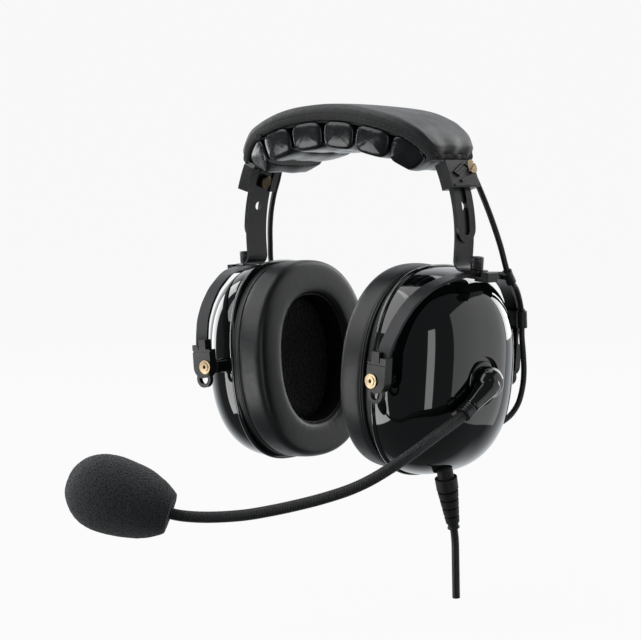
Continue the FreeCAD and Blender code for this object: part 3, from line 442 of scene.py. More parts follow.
class Look:
    """A Principled material and the layers put on it. Scales are per metre."""

    def __init__(self, name, color, rough, metal=0.0, specular=0.5, coat=0.0,
                 coat_rough=0.05, sheen=0.0):
        material = bpy.data.materials.new(name)
        material.use_nodes = True
        MATERIALS[name] = material
        self.tree = material.node_tree
        self.shader = self.tree.nodes["Principled BSDF"]
        values = {"Base Color": (*color, 1), "Roughness": rough, "Metallic": metal,
                  "Specular IOR Level": specular, "Coat Weight": coat,
                  "Coat Roughness": coat_rough, "Sheen Weight": sheen, "IOR": 1.5}
        for key, value in values.items():
            self.shader.inputs[key].default_value = value
        self.color, self.rough = color, rough
        self.normal = None
        self.coords = self.node("ShaderNodeTexCoord", {}).outputs

    def node(self, kind, inputs, **settings):
        return add_node(self.tree, kind, inputs, **settings)

    def feed(self, key, source):
        self.tree.links.new(source, self.shader.inputs[key])

    def noise(self, scale, detail=4.0, rough=0.55, distortion=0.0, vector=None):
        inputs = {"Scale": scale, "Detail": detail, "Roughness": rough,
                  "Distortion": distortion, "Vector": vector or self.coords["Object"]}
        return self.node("ShaderNodeTexNoise", inputs).outputs["Fac"]

    def cells(self, scale, feature="F1"):
        inputs = {"Scale": scale, "Vector": self.coords["Object"]}
        return self.node("ShaderNodeTexVoronoi", inputs, feature=feature).outputs["Distance"]

    def creases(self, scale):
        return self.cells(scale, feature="DISTANCE_TO_EDGE")

    def weave(self, scale, distortion=0.0):
        inputs = {"Scale": scale, "Distortion": distortion, "Vector": self.coords["Object"]}
        return self.node("ShaderNodeTexWave", inputs, wave_type="BANDS",
                         bands_direction="DIAGONAL").outputs["Fac"]

    def ramp(self, source, low, high, start=0.0, end=1.0):
        inputs = {"From Min": low, "From Max": high, "To Min": start, "To Max": end,
                  "Value": source}
        return self.node("ShaderNodeMapRange", inputs).outputs["Result"]

    def math(self, operation, a, b):
        return self.node("ShaderNodeMath", {0: a, 1: b}, operation=operation).outputs[0]

    def bump(self, height, depth, strength):
        """Adds relief on top of any earlier bump; depth is in metres."""
        inputs = {"Distance": depth, "Strength": strength, "Height": height}
        if self.normal is not None:
            inputs["Normal"] = self.normal
        self.normal = self.node("ShaderNodeBump", inputs).outputs["Normal"]
        self.feed("Normal", self.normal)

    def vary_rough(self, source, amount):
        self.feed("Roughness", self.ramp(source, low=0.3, high=0.7, start=self.rough - amount,
                                         end=self.rough + amount))

    def dust(self):
        self.vary_rough(self.noise(scale=70, detail=5.0, rough=0.6), amount=0.04)

    def mix_color(self, factor, other):
        inputs = {"A": (*self.color, 1), "B": (*other, 1), "Factor": factor}
        mix = self.node("ShaderNodeMix", inputs, data_type="RGBA")
        self.feed("Base Color", mix.outputs["Result"])

    def vary_color(self, source, other, low=0.35, high=0.65):
        self.mix_color(self.ramp(source, low, high), other)

    def wear(self, color, amount):
        """Lighter, rubbed edges, found where a bevelled normal leaves the true one."""
        bevel = self.node("ShaderNodeBevel", {"Radius": 0.0006}, samples=4)
        geometry = self.node("ShaderNodeNewGeometry", {})
        dot = self.node("ShaderNodeVectorMath",
                        {0: bevel.outputs["Normal"], 1: geometry.outputs["Normal"]},
                        operation="DOT_PRODUCT")
        edge = self.ramp(dot.outputs["Value"], low=0.995, high=0.86)
        patches = self.ramp(self.noise(scale=260, detail=3.0), low=0.4, high=0.62, end=amount)
        self.mix_color(self.math("MULTIPLY", edge, patches), color)


# ------------------------------------------------------------------ leather, cloth and vinyl
look = Look("pad_leather", color=(0.0115, 0.0125, 0.0140), rough=0.40, coat=0.10, coat_rough=0.32)
look.bump(look.ramp(look.creases(scale=1150), low=0.0, high=0.16), depth=0.00010, strength=0.50)
look.bump(look.noise(scale=420, detail=6.0, rough=0.6), depth=0.00022, strength=0.30)
look.bump(look.noise(scale=70, detail=3.0), depth=0.0012, strength=0.10)
look.vary_rough(look.noise(scale=160, detail=5.0), amount=0.07)
look.vary_color(look.noise(scale=55), other=(0.017, 0.018, 0.020))

look = Look("pad_binding", color=(0.024, 0.0247, 0.026), rough=0.78, specular=0.30, sheen=0.25)
look.bump(look.weave(scale=420, distortion=1.2), depth=0.00022, strength=0.55)
look.bump(look.noise(scale=1400, detail=3.0), depth=0.00015, strength=0.5)
look.vary_color(look.noise(scale=900, detail=3.0), other=(0.034, 0.035, 0.037))

look = Look("pad_thread", color=(0.022, 0.022, 0.023), rough=0.55, specular=0.4, sheen=0.3)
look.bump(look.weave(scale=1600), depth=0.0001, strength=0.5)

look = Look("cell_vinyl", color=(0.0055, 0.0078, 0.0096), rough=0.24, coat=0.25, coat_rough=0.14)
look.bump(look.noise(scale=130, rough=0.5, distortion=0.6), depth=0.0009, strength=0.22)
look.bump(look.creases(scale=1300), depth=0.00006, strength=0.22)
look.feed("Coat Normal", look.normal)
look.vary_rough(look.noise(scale=220), amount=0.05)
look.vary_color(look.noise(scale=90, detail=3.0), other=(0.009, 0.012, 0.014))

look = Look("seal_vinyl", color=(0.0085, 0.0098, 0.0108), rough=0.40, coat=0.06, coat_rough=0.30)
look.bump(look.creases(scale=1500), depth=0.00007, strength=0.35)
look.bump(look.noise(scale=110, rough=0.5), depth=0.0008, strength=0.12)
look.vary_rough(look.noise(scale=190), amount=0.05)
look.vary_color(look.noise(scale=60, detail=3.0), other=(0.0125, 0.0135, 0.0150))

# ------------------------------------------------------------------ metals and hard plastics
look = Look("spring_steel", color=(0.020, 0.021, 0.023), rough=0.33, metal=0.35)
# stretched noise gives brush marks
brushed = look.node("ShaderNodeMapping",
                    {"Scale": (60, 900, 60), "Vector": look.coords["Object"]}).outputs["Vector"]
look.bump(look.noise(scale=6, detail=5, rough=0.5, vector=brushed), depth=0.00008, strength=0.30)
look.bump(look.noise(scale=1500, detail=2.0), depth=0.00004, strength=0.30)
look.vary_rough(look.noise(scale=140, detail=5.0), amount=0.06)
look.wear(color=(0.10, 0.10, 0.105), amount=0.5)

look = Look("saddle_plastic", color=(0.0110, 0.0118, 0.0130), rough=0.33)
look.bump(look.noise(scale=1500, detail=3.0), depth=0.00008, strength=0.35)
look.vary_rough(look.noise(scale=120), amount=0.07)
look.wear(color=(0.055, 0.056, 0.058), amount=0.35)

look = Look("dome_plastic", color=(0.0016, 0.0032, 0.0031), rough=0.045, coat=1.0, coat_rough=0.02)
look.bump(look.noise(scale=38, detail=2.0), depth=0.0010, strength=0.012)
look.vary_rough(look.noise(scale=90, detail=5.0), amount=0.012)
look.vary_color(look.noise(scale=26, detail=2.0), other=(0.0022, 0.0036, 0.0040))

look = Look("baffle_plastic", color=(0.010, 0.0105, 0.011), rough=0.46, specular=0.45)
look.bump(look.noise(scale=1200, detail=3.0), depth=0.00010, strength=0.5)
look.dust()

for name, color, rough, darker in (
        ("brass", (0.50, 0.395, 0.245), 0.30, (0.31, 0.235, 0.145)),
        ("bronze", (0.13, 0.095, 0.055), 0.42, (0.07, 0.055, 0.038))):
    look = Look(name, color, rough, metal=1.0)
    look.bump(look.noise(scale=700), depth=0.00010, strength=0.35)
    look.vary_rough(look.noise(scale=300), amount=0.10)
    look.vary_color(look.noise(scale=180), other=darker)

look = Look("nut_steel", color=(0.060, 0.060, 0.064), rough=0.30, metal=0.9)
look.bump(look.noise(scale=900, detail=3.0), depth=0.00008, strength=0.4)
look.vary_rough(look.noise(scale=240), amount=0.08)
look.wear(color=(0.34, 0.34, 0.35), amount=0.7)

# ------------------------------------------------------------------ cables, boom and insides
look = Look("bumper_rubber", color=(0.013, 0.0135, 0.014), rough=0.52, specular=0.4)
look.bump(look.noise(scale=1300), depth=0.00012, strength=0.5)
look.vary_rough(look.noise(scale=160), amount=0.06)

look = Look("cable_jacket", color=(0.0105, 0.011, 0.012), rough=0.42, specular=0.45)
look.bump(look.noise(scale=700), depth=0.00012, strength=0.35)
look.vary_rough(look.noise(scale=150), amount=0.07)
look.vary_color(look.noise(scale=80, detail=3.0), other=(0.016, 0.0165, 0.018))

look = Look("boom_sleeve", color=(0.0135, 0.0140, 0.0155), rough=0.50, specular=0.42)
sleeve_uv = look.node("ShaderNodeSeparateXYZ", {0: look.coords["UV"]}).outputs
# six-start helical ribs, crossed so that the sleeve reads as a fine braid
for hand in (1, -1):
    phase = look.math("ADD", look.math("MULTIPLY", sleeve_uv["Y"], 2 * math.pi / RIB_PITCH),
                      look.math("MULTIPLY", sleeve_uv["X"], hand * 6 * 2 * math.pi))
    look.bump(look.ramp(look.math("SINE", phase, 0.0), low=-1.0, high=1.0),
              depth=0.00030, strength=0.50)
look.bump(look.noise(scale=1500, detail=3.0), depth=0.0001, strength=0.3)
look.vary_color(look.noise(scale=1300, detail=3.0), other=(0.030, 0.031, 0.034),
                low=0.45, high=0.62)

look = Look("elbow_plastic", color=(0.0040, 0.0052, 0.0056), rough=0.13, coat=0.6,
            coat_rough=0.06)
look.bump(look.noise(scale=60, detail=2.0), depth=0.0006, strength=0.05)
look.vary_rough(look.noise(scale=130), amount=0.03)
look.wear(color=(0.04, 0.041, 0.043), amount=0.25)

look = Look("open_foam", color=(0.0100, 0.0108, 0.0122), rough=0.95, specular=0.10, sheen=0.18)
look.shader.inputs["Sheen Roughness"].default_value = 0.6
pores = look.cells(scale=1050)
look.bump(look.ramp(pores, low=0.0, high=0.55), depth=0.00055, strength=0.95)
look.bump(look.noise(scale=2100, rough=0.7), depth=0.0003, strength=0.7)
# painted shade: the pore pits are coloured darker and the cell walls between them lighter
look.vary_color(look.ramp(pores, low=0.0, high=0.5), other=(0.040, 0.042, 0.046),
                low=0.30, high=1.0)

look = Look("liner_foam", color=(0.0085, 0.0090, 0.0098), rough=0.95, specular=0.10, sheen=0.12)
pores = look.cells(scale=700)
look.bump(look.ramp(pores, low=0.0, high=0.6), depth=0.0006, strength=0.9)
# painted shade: the pore pits are coloured darker and the cell walls between them lighter
look.vary_color(pores, other=(0.026, 0.027, 0.029), low=0.2, high=0.8)

look = Look("speaker_metal", color=(0.25, 0.25, 0.26), rough=0.35, metal=1.0)
look.bump(look.noise(scale=900, detail=3.0), depth=0.0001, strength=0.4)
look.dust()

look = Look("speaker_paper", color=(0.030, 0.028, 0.026), rough=0.80, specular=0.2)
look.bump(look.noise(scale=1500, detail=5.0), depth=0.0002, strength=0.6)
look.vary_color(look.noise(scale=700), other=(0.05, 0.047, 0.043))

look = Look("capsule_metal", color=(0.30, 0.30, 0.31), rough=0.30, metal=1.0)
look.bump(look.noise(scale=1100, detail=3.0), depth=0.0001, strength=0.3)
look.dust()

# ------------------------------------------------------------------ materials of the CAD pieces
# start of the piece's name, material; the first match counts
CAD_MATERIALS = (
    ("head_pad_cover", "pad_leather"), ("head_pad_base", "baffle_plastic"),
    ("head_pad_cell", "cell_vinyl"), ("head_pad_snaps", "nut_steel"),
    ("crossover_cable", "cable_jacket"), ("band_spring", "spring_steel"),
    ("side_strip", "spring_steel"), ("arm_strip", "spring_steel"),
    ("arm_clamp", "saddle_plastic"), ("clamp_screw", "brass"), ("clamp_nut", "bronze"),
    ("stirrup_strip", "spring_steel"), ("swivel_screw", "nut_steel"),
    ("swivel_block", "saddle_plastic"), ("pivot_blocks", "saddle_plastic"),
    ("cable_clips", "saddle_plastic"), ("cup_shell", "dome_plastic"),
    ("cup_baffle", "baffle_plastic"), ("ear_seal", "seal_vinyl"), ("ear_liner", "liner_foam"),
    ("speaker_cone", "speaker_paper"), ("speaker", "speaker_metal"), ("cup_foam", "open_foam"),
    ("pivot_screws", "brass"), ("cord_boot", "bumper_rubber"), ("cord_left", "cable_jacket"),
    ("boom_elbow", "elbow_plastic"), ("boom_collar", "nut_steel"),
    ("boom_snap_ring", "nut_steel"), ("boom_", "boom_sleeve"),
    ("mic_housing", "elbow_plastic"), ("mic_capsule", "capsule_metal"),
    ("mic_windscreen", "open_foam"))


def paint_cad():
    for name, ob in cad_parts.items():
        material = next(MATERIALS[look_name] for start, look_name in CAD_MATERIALS
                        if name.startswith(start))
        slots = ob.data.materials
        if not slots:
            slots.append(material)
        for i in range(len(slots)):
            slots[i] = material
        shade_smooth(ob.data)


paint_cad()

# ------------------------------------------------------------------ head pad bolsters
CELL_COUNT = 6
CELL_TOP, CELL_BOTTOM = -3.8, -17.4         # heights relative to the band
CELL_DEPTH = CELL_TOP - CELL_BOTTOM
CELL_ROW_LENGTH = 2 * (PAD_REACH - 1.2)
CELL_GAP, CELL_INSET = 0.10, 0.5            # at each neighbour, and inside the pad's edge
CELL_SEGMENTS, CELL_STATIONS = 26, 44       # round the section, and front to back


def cell_start_shape(half_length, half_width, phases):
    """An undersized bolster as (along the band, y, depth) points, with its faces."""
    verts = []
    for j in range(CELL_STATIONS):
        g = -1.0 + 2.0 * j / (CELL_STATIONS - 1)
        fullness = (1.0 - abs(g) ** 9.0) ** 0.40    # falls to 0 at the two end faces
        for k in range(CELL_SEGMENTS):
            turn = 2 * math.pi * k / CELL_SEGMENTS
            down = 0.5 - 0.5 * signed_power(math.sin(turn), 0.52)   # 0 at the top
            width = (half_length * (0.985 - 0.10 * abs(down - 0.55) ** 1.6)
                     * (0.90 + 0.10 * fullness))
            verts.append((signed_power(math.cos(turn), 0.42) * width,
                          g * half_width * (0.985 - 0.02 * down),
                          down * CELL_DEPTH * (0.84 + 0.12 * fullness)))
    verts = np.array(verts)
    count, last = len(verts), len(verts) - CELL_SEGMENTS
    verts = np.vstack([verts, verts[:CELL_SEGMENTS].mean(0), verts[last:].mean(0)])
    faces = grid_faces(CELL_STATIONS, CELL_SEGMENTS, close_columns=True)
    for k in range(CELL_SEGMENTS):
        after = (k + 1) % CELL_SEGMENTS
        faces += [(k, after, count), (last + after, last + k, count + 1)]
    # uneven filling, different in each bolster
    y = verts[:, 1]
    sag = 0.22 * np.sin(y * 0.21 + phases[0]) + 0.16 * np.sin(y * 0.43 + phases[1])
    verts[:, 2] += sag * smooth(verts[:, 2] / 6.0)
    verts[:, 0] += 0.22 * np.sin(y * 0.30 + phases[2]) * smooth(verts[:, 2] / 6.0)
    return verts, faces


def pucker_cell(points, half_length, half_width, phases):
    """Shallow creases from the sewn rims and along the sides, then limits on the bulge."""
    along, y, depth = points.T
    for sign in (-1, 1):
        near = smooth(1.0 - (half_width - sign * y) / 9.0)
        depth += near * 0.12 * np.sin(along * 2.1 + phases[3] + sign) * smooth(depth / 4.0)
        y += sign * near * 0.10 * np.sin(along * 1.7 + phases[4]) * smooth(depth / 5.0)
    along += (0.16 * np.sin(y * 0.9 + phases[5]) * smooth(1 - depth / 7.0)
              * smooth(depth / 1.5))
    np.clip(along, -half_length - 0.05, half_length + 0.05, out=along)
    np.clip(y, -half_width - 0.9, half_width + 0.9, out=y)
    np.clip(depth, 0.02, CELL_DEPTH + 1.6, out=depth)


def lay_cell(points, middle, half_width):
    """Bends a bolster onto the band; its end faces follow the pad's edge up to the binding."""
    laid = []
    for along, y, depth in points:
        s = middle + along
        rise = (1.5 * smooth((abs(y) - (half_width - 2.6)) / 1.6)
                * (1.0 - min(1.0, depth / CELL_DEPTH)))
        laid.append(pad_point(s, y * (pad_half(s) - CELL_INSET) / half_width,
                              CELL_TOP - depth + rise))
    return np.array(laid)


def build_cell(i):
    start = -CELL_ROW_LENGTH / 2 + CELL_ROW_LENGTH * i / CELL_COUNT
    end = -CELL_ROW_LENGTH / 2 + CELL_ROW_LENGTH * (i + 1) / CELL_COUNT
    middle = 0.5 * (start + end)
    half_width = min(pad_half(start), pad_half(end), pad_half(middle)) - CELL_INSET
    half_length = 0.5 * (end - start) - CELL_GAP
    phases = rng.uniform(0, 6.28, 6)
    verts, faces = cell_start_shape(half_length, half_width, phases)
    ob = make("head_pad_bolster_%d" % (i + 1), verts, faces, "cell_vinyl")
    outward(ob)
    # held fast at the sewn top, let go over the first 3 mm of depth
    pins = [(q, 1.0 if depth < 0.35 else float(0.5 - depth / 6.0))
            for q, depth in enumerate(verts[:, 2]) if depth < 3.0]
    inflate(ob, pins, pressure=2.6, frame_count=16, cap=1.0, tension=10.0, quality=6)
    points = mesh_points(ob.data)
    pucker_cell(points, half_length, half_width, phases)
    set_points(ob.data, lay_cell(points, middle, half_width))
    subdivide(ob)
    outward(ob)
    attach(ob, "headband")
    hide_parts("head_pad_cell_%d" % (i + 1))


for cell in range(CELL_COUNT):
    build_cell(cell)

# ------------------------------------------------------------------ head pad cover
COVER_STATIONS, COVER_COLUMNS = 150, 72
COVER_REACH, COVER_THICKNESS = PAD_REACH + 0.3, 1.1
BINDING_LOW, BINDING_HIGH = -2.1, 3.3       # heights of the tape's outer face
BINDING_SPAN = BINDING_HIGH - BINDING_LOW
BINDING_STATIONS, BINDING_FACE_POINTS = 170, 9
EDGE_INSET = 0.35                           # the tape's zero line inside the pad's edge
GROOVE = 0.46                               # the stitch line, as a fraction of BINDING_SPAN
STITCH_PITCH, STITCH_LENGTH, STITCH_SEGMENTS = 2.9, 2.0, 6
STITCH_RADII = [0.10, 0.22, 0.25, 0.22, 0.10]


def cover_height(s, g):
    """Height of the cover's upper face; g runs from -1 at the front edge to 1 at the back."""
    k = abs(s) / PAD_REACH
    edge = abs(g)
    # crown, rolled down at the long edges
    height = pad_top(min(abs(s), PAD_REACH)) - 0.2 - 0.55 * edge ** 2
    height -= 3.6 * max(0.0, (edge - 0.86) / 0.14) ** 2.4
    # long shallow folds across the crown and towards the ends
    height += 0.20 * math.sin(s * 0.19 + 1.3 * g + 0.7) * (0.35 + 0.65 * k)
    height += 0.16 * math.sin(s * 0.52 + 2.6 * g) * smooth((k - 0.55) / 0.35)
    height += 0.30 * math.sin(g * 8.2 + s * 0.12) * smooth((k - 0.72) / 0.28) * (1 - edge ** 4)
    # ends turned down
    fall = smooth((abs(s) - (PAD_REACH - 3.4)) / 3.7) * 3.9
    return height - fall * (1.0 - 0.25 * math.cos(g * 9.0) * smooth((k - 0.8) / 0.2))


def build_leather():
    upper, lower = [], []
    for i in range(COVER_STATIONS):
        s = -COVER_REACH + 2 * COVER_REACH * i / (COVER_STATIONS - 1)
        half = pad_half(min(abs(s), PAD_REACH)) - 0.2
        for j in range(COVER_COLUMNS):
            g = -1.0 + 2.0 * j / (COVER_COLUMNS - 1)
            height = cover_height(s, g)
            upper.append(pad_point(s, g * half, height))
            lower.append(pad_point(s, g * half * 0.992, height - COVER_THICKNESS))
    n = len(upper)
    sheet = grid_faces(COVER_STATIONS, COVER_COLUMNS)
    faces = sheet + [tuple(n + q for q in reversed(face)) for face in sheet]
    edges = [(i * COVER_COLUMNS + j, (i + 1) * COVER_COLUMNS + j)
             for i in range(COVER_STATIONS - 1) for j in (0, COVER_COLUMNS - 1)]
    edges += [(i * COVER_COLUMNS + j, i * COVER_COLUMNS + j + 1)
              for j in range(COVER_COLUMNS - 1) for i in (0, COVER_STATIONS - 1)]
    faces += [(a, b, b + n, a + n) for a, b in edges]
    ob = make("head_pad_leather", upper + lower, faces, "pad_leather")
    outward(ob)
    sharpen(ob, 50)
    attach(ob, "headband")
    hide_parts("head_pad_cover")


def binding_profile():
    """Closed section of the folded tape: (out from the edge line, height)."""
    profile = []
    for q in range(BINDING_FACE_POINTS):
        f = q / (BINDING_FACE_POINTS - 1)
        # a soft bulge above and below the groove of the stitch line
        bulge = (0.95 * (1 - abs(2 * f - 1) ** 2.6)
                 - 0.30 * math.exp(-((f - GROOVE) / 0.10) ** 2))
        profile.append((bulge, BINDING_LOW + BINDING_SPAN * f))
    # over the top and back down behind the face
    profile += [(out, BINDING_HIGH + up) for out, up in (
        (-0.5, 0.75), (-1.7, 0.85), (-2.6, 0.35), (-2.5, -0.9), (-1.3, -1.6))]
    profile += [(out, BINDING_LOW + up) for out, up in (
        (-1.1, 1.0), (-2.0, 0.6), (-2.2, 0.1), (-1.0, -0.15))]
    return profile


def build_binding(sign, name):
    profile = binding_profile()
    verts = []
    for i in range(BINDING_STATIONS):
        s = -PAD_REACH + 2 * PAD_REACH * i / (BINDING_STATIONS - 1)
        drop = pad_top(s) - PAD_TOP_MID
        wave = 0.16 * math.sin(s * 0.9 + sign) + 0.10 * math.sin(s * 2.1)
        for out, up in profile:
            lift = drop * max(0.0, (up - BINDING_LOW) / BINDING_SPAN)
            verts.append(pad_point(s, sign * (pad_half(s) - EDGE_INSET + out),
                                   up + lift + wave * 0.5 * (1 if up > 0 else 0.4)))
    m = len(profile)
    faces = grid_faces(BINDING_STATIONS, m, close_columns=True)
    faces += [tuple(range(m)), tuple(range(len(verts) - m, len(verts)))]
    ob = make("head_pad_binding_" + name, verts, faces, "pad_binding")
    outward(ob)
    sharpen(ob, 62)
    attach(ob, "headband")
    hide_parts("head_pad_cover")


def build_stitching():
    """All stitches of both bindings as one mesh."""
    row = 2 * PAD_REACH - 4
    verts, faces = [], []
    stitch_faces = tube_faces(len(STITCH_RADII), STITCH_SEGMENTS)
    for sign in (-1, 1):
        for i in range(int(row / STITCH_PITCH)):
            middle = -row / 2 + STITCH_PITCH * (i + 0.5)
            up = BINDING_LOW + BINDING_SPAN * GROOVE + (pad_top(middle) - PAD_TOP_MID) * GROOVE
            path = []
            for q in range(len(STITCH_RADII)):
                f = -0.5 + q / 4.0
                s = middle + f * STITCH_LENGTH
                out = 0.62 + 0.16 * (1 - (2 * f) ** 2)
                path.append(pad_point(s, sign * (pad_half(s) - EDGE_INSET + out), up))
            path = np.array(path)
            base = len(verts)
            verts.extend(rings(path, STITCH_RADII, *cross_axes(path), STITCH_SEGMENTS))
            faces += [tuple(base + q for q in face) for face in stitch_faces]
    ob = make("head_pad_stitching", verts, faces, "pad_thread")
    outward(ob)
    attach(ob, "headband")


def build_end_welt(sign, name):
    """Wavy rolled edge across one end of the pad."""
    path = []
    for q in range(60):
        g = -1 + 2 * q / 59
        height = 1.35 - 0.9 * abs(g) ** 3 + 0.35 * math.sin(g * 7.5 + sign)
        height += 0.2 * math.sin(g * 15.0)
        s = sign * (PAD_REACH + 0.15 - 0.5 * abs(g) ** 6)
        path.append(pad_point(s, g * (PAD_HALF_END - 0.6), height))
    ob = tube("head_pad_end_welt_" + name, path, 1.25, "pad_binding", segments=12,
              squash=(1.25, 0.8))
    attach(ob, "headband")


build_leather()
build_binding(-1, "front")
build_binding(1, "back")
build_stitching()
build_end_welt(-1, "right")
build_end_welt(1, "left")

# ------------------------------------------------------------------ ear seals
SEAL_POINTS = 150                           # round the seal
SEAL_HALF_Y, SEAL_HALF_Z, SEAL_EXPONENT = 48.3, 53.0, 2.26
OPENING_HALF_Y, OPENING_HALF_Z, OPENING_EXPONENT = 28.1, 34.3, 2.3
# closed section from the outside back edge:
# (depth from the baffle towards the head, 0 at the outer wall .. 1 at the opening wall)
SEAL_SECTION = (
    (0.15, 0.075), (0.10, 0.030), (0.6, 0.012), (1.2, 0.028), (1.85, 0.040), (2.5, 0.028),
    (3.3, 0.010), (4.6, 0.002), (7.0, 0.0), (9.5, 0.0), (11.8, 0.002), (13.6, 0.009),
    (14.9, 0.026), (15.9, 0.060), (16.6, 0.108), (17.05, 0.170), (17.30, 0.255), (17.40, 0.36),
    (17.42, 0.47), (17.40, 0.58), (17.34, 0.68), (17.18, 0.77), (16.85, 0.845), (16.2, 0.905),
    (15.1, 0.950), (13.4, 0.978), (11.0, 0.990), (8.0, 0.992), (5.0, 0.990), (2.6, 0.985),
    (0.9, 0.985), (0.25, 0.94), (0.15, 0.70), (0.15, 0.35))
# name, section point it follows, radius, shift away from the cup's axis
SEAL_SEAMS = (("seal_side_welt", 4, 0.55, 0.15), ("seal_lip_seam", 25, 0.30, -0.1))
SEAM_SEGMENTS = 10
LINER_RINGS, LINER_POINTS, LINER_GAP = 40, 120, 0.3


def add_cup_pair(left, stem, replaced=None):
    """Names a left piece, adds its mirrored right one and ties both to their cups."""
    left.name = stem + "_left"
    mesh = left.data.copy()
    mesh.name = stem + "_right"
    right = add_object(stem + "_right", mesh)
    mirror_mesh(mesh)
    for ob, side in ((left, "left"), (right, "right")):
        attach(ob, "cup_" + side)
        if replaced:
            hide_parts(replaced + "_" + side)


def seal_pin(depth, f):
    if depth < 2.0 or (f > 0.9 and depth < 9.0):
        return 1.0
    return 0.5 if depth < 3.0 or 0.2 < f < 0.85 else None


def build_cushions():
    """Makes both cushions; returns the left one's side-frame points, by place and section."""
    m = len(SEAL_SECTION)
    outer_y, outer_z = even_oval(SEAL_HALF_Y, SEAL_HALF_Z, SEAL_EXPONENT, SEAL_POINTS)
    # points of the opening in the same directions from the centre
    directions = np.arctan2(outer_z, outer_y)
    y, z = oval(OPENING_HALF_Y, OPENING_HALF_Z, OPENING_EXPONENT,
                np.linspace(-math.pi, math.pi, 4001))
    opening_directions = np.unwrap(np.arctan2(z, y))
    inner_y = np.interp(directions, opening_directions, y)
    inner_z = np.interp(directions, opening_directions, z)
    verts = [(SEAL_BACK_X - depth, outer_y[i] + (inner_y[i] - outer_y[i]) * f,
              CUP_Z + (outer_z[i] + (inner_z[i] - outer_z[i]) * f))
             for i in range(SEAL_POINTS) for depth, f in SEAL_SECTION]
    ob = make("seal_work", verts,
              grid_faces(SEAL_POINTS, m, close_rows=True, close_columns=True), "seal_vinyl")
    outward(ob)
    pins = [(i * m + j, seal_pin(*SEAL_SECTION[j])) for i in range(SEAL_POINTS)
            for j in range(m) if seal_pin(*SEAL_SECTION[j])]
    inflate(ob, pins, pressure=1.6, frame_count=14, cap=0.7, tension=14.0, quality=5)
    points = mesh_points(ob.data).reshape(SEAL_POINTS, m, 3)
    # tension wrinkles where the skin turns into the opening, strongest at its top and bottom
    arc = arc_lengths(np.stack([outer_y, outer_z], 1))
    tight = np.abs(np.sin(directions)) ** 3
    ripple = np.sin(arc * 0.95 + 0.6 * np.sin(arc * 0.13)) + 0.5 * np.sin(arc * 2.1)
    for j, (depth, f) in enumerate(SEAL_SECTION):
        if 0.6 < f < 0.99 and depth > 7:
            size = math.sin(math.pi * (f - 0.6) / 0.4) * (0.008 + 0.03 * tight)
            points[:, j, 0] += size * ripple
    face_limit = SEAL_BACK_X - SEAL_THICKNESS + 0.15 - 0.9
    points[:, :, 0] = np.maximum(points[:, :, 0], face_limit)
    set_points(ob.data, side_to_row(points.reshape(-1, 3)))
    subdivide(ob)
    outward(ob)
    add_cup_pair(ob, "ear_cushion", "ear_seal")
    return points


def build_seal_seams(seal_points):
    """A welt round the side wall and a fine seam inside the opening."""
    for stem, column, radius, shift in SEAL_SEAMS:
        path = seal_points[:, column]
        path = path + shift * unit_rows(path * vec(0, 1, 1) - vec(0, 0, CUP_Z))
        tangents = np.roll(path, -1, axis=0) - np.roll(path, 1, axis=0)
        across = unit_rows(np.cross(tangents, X_AXIS))
        verts = rings(path, radius, X_AXIS, across, SEAM_SEGMENTS)
        faces = grid_faces(SEAL_POINTS, SEAM_SEGMENTS, close_rows=True, close_columns=True)
        ob = make(stem + "_left", side_to_row(verts), faces, "seal_vinyl")
        outward(ob)
        subdivide(ob)
        add_cup_pair(ob, stem)


def build_liners():
    """Dished cloth face across the opening, with a small oval dent near its lower end."""
    outline_y, outline_z = even_oval(OPENING_HALF_Y - LINER_GAP, OPENING_HALF_Z - LINER_GAP,
                                     OPENING_EXPONENT, LINER_POINTS)
    verts = []
    for i in range(LINER_RINGS):
        f = i / (LINER_RINGS - 1)
        for y, z in zip(outline_y * f, outline_z * f):
            depth = 0.5 + 2.2 * smooth((f - 0.35) / 0.6) - 1.0 * smooth((f - 0.9) / 0.1)
            dent = ((y - 4.0) / 6.0) ** 2 + ((z + 24.5) / 2.6) ** 2
            depth -= 0.7 * math.exp(-dent * dent)
            depth += 0.18 * math.sin(z * 0.33) * math.sin(y * 0.2) * (1 - f)
            verts.append((SEAL_BACK_X - 0.15 - depth, y, CUP_Z + z))
    ob = make("ear_liner_cloth_left", side_to_row(verts),
              grid_faces(LINER_RINGS, LINER_POINTS, close_columns=True), "liner_foam")
    weld(ob, 1e-6)
    outward(ob)
    # an open sheet has no outside of its own, so it is turned to face the head
    if np.mean([p.normal.dot(Vector(SIDE_X)) for p in ob.data.polygons]) > 0:
        ob.data.flip_normals()
    add_cup_pair(ob, "ear_liner_cloth", "ear_liner")


build_seal_seams(build_cushions())
build_liners()

# ------------------------------------------------------------------ domes
DOME_WALL, DOME_SEGMENTS, SKIN_ROWS = 2.5, 256, 84
SKIN_START = 2.55                           # from the rim plane, past the bead
BEAD_ANGLES = (-80, -60, -35, -10, 15, 40, 62, 80)
RECESS_RADIUS = 12.5
PIVOT_X, PIVOT_Z = -15.5, -52.7
BOSS_START, BOSS_RADIUS, BOSS_BORE = 38.0, 3.8, 2.1
BOSS_LENGTHS = ((-1, 13.72), (1, 9.22))     # front, back


def dome_scale(k):
    return (1.0 - k ** DOME_PROFILE) ** (1.0 / DOME_PROFILE)


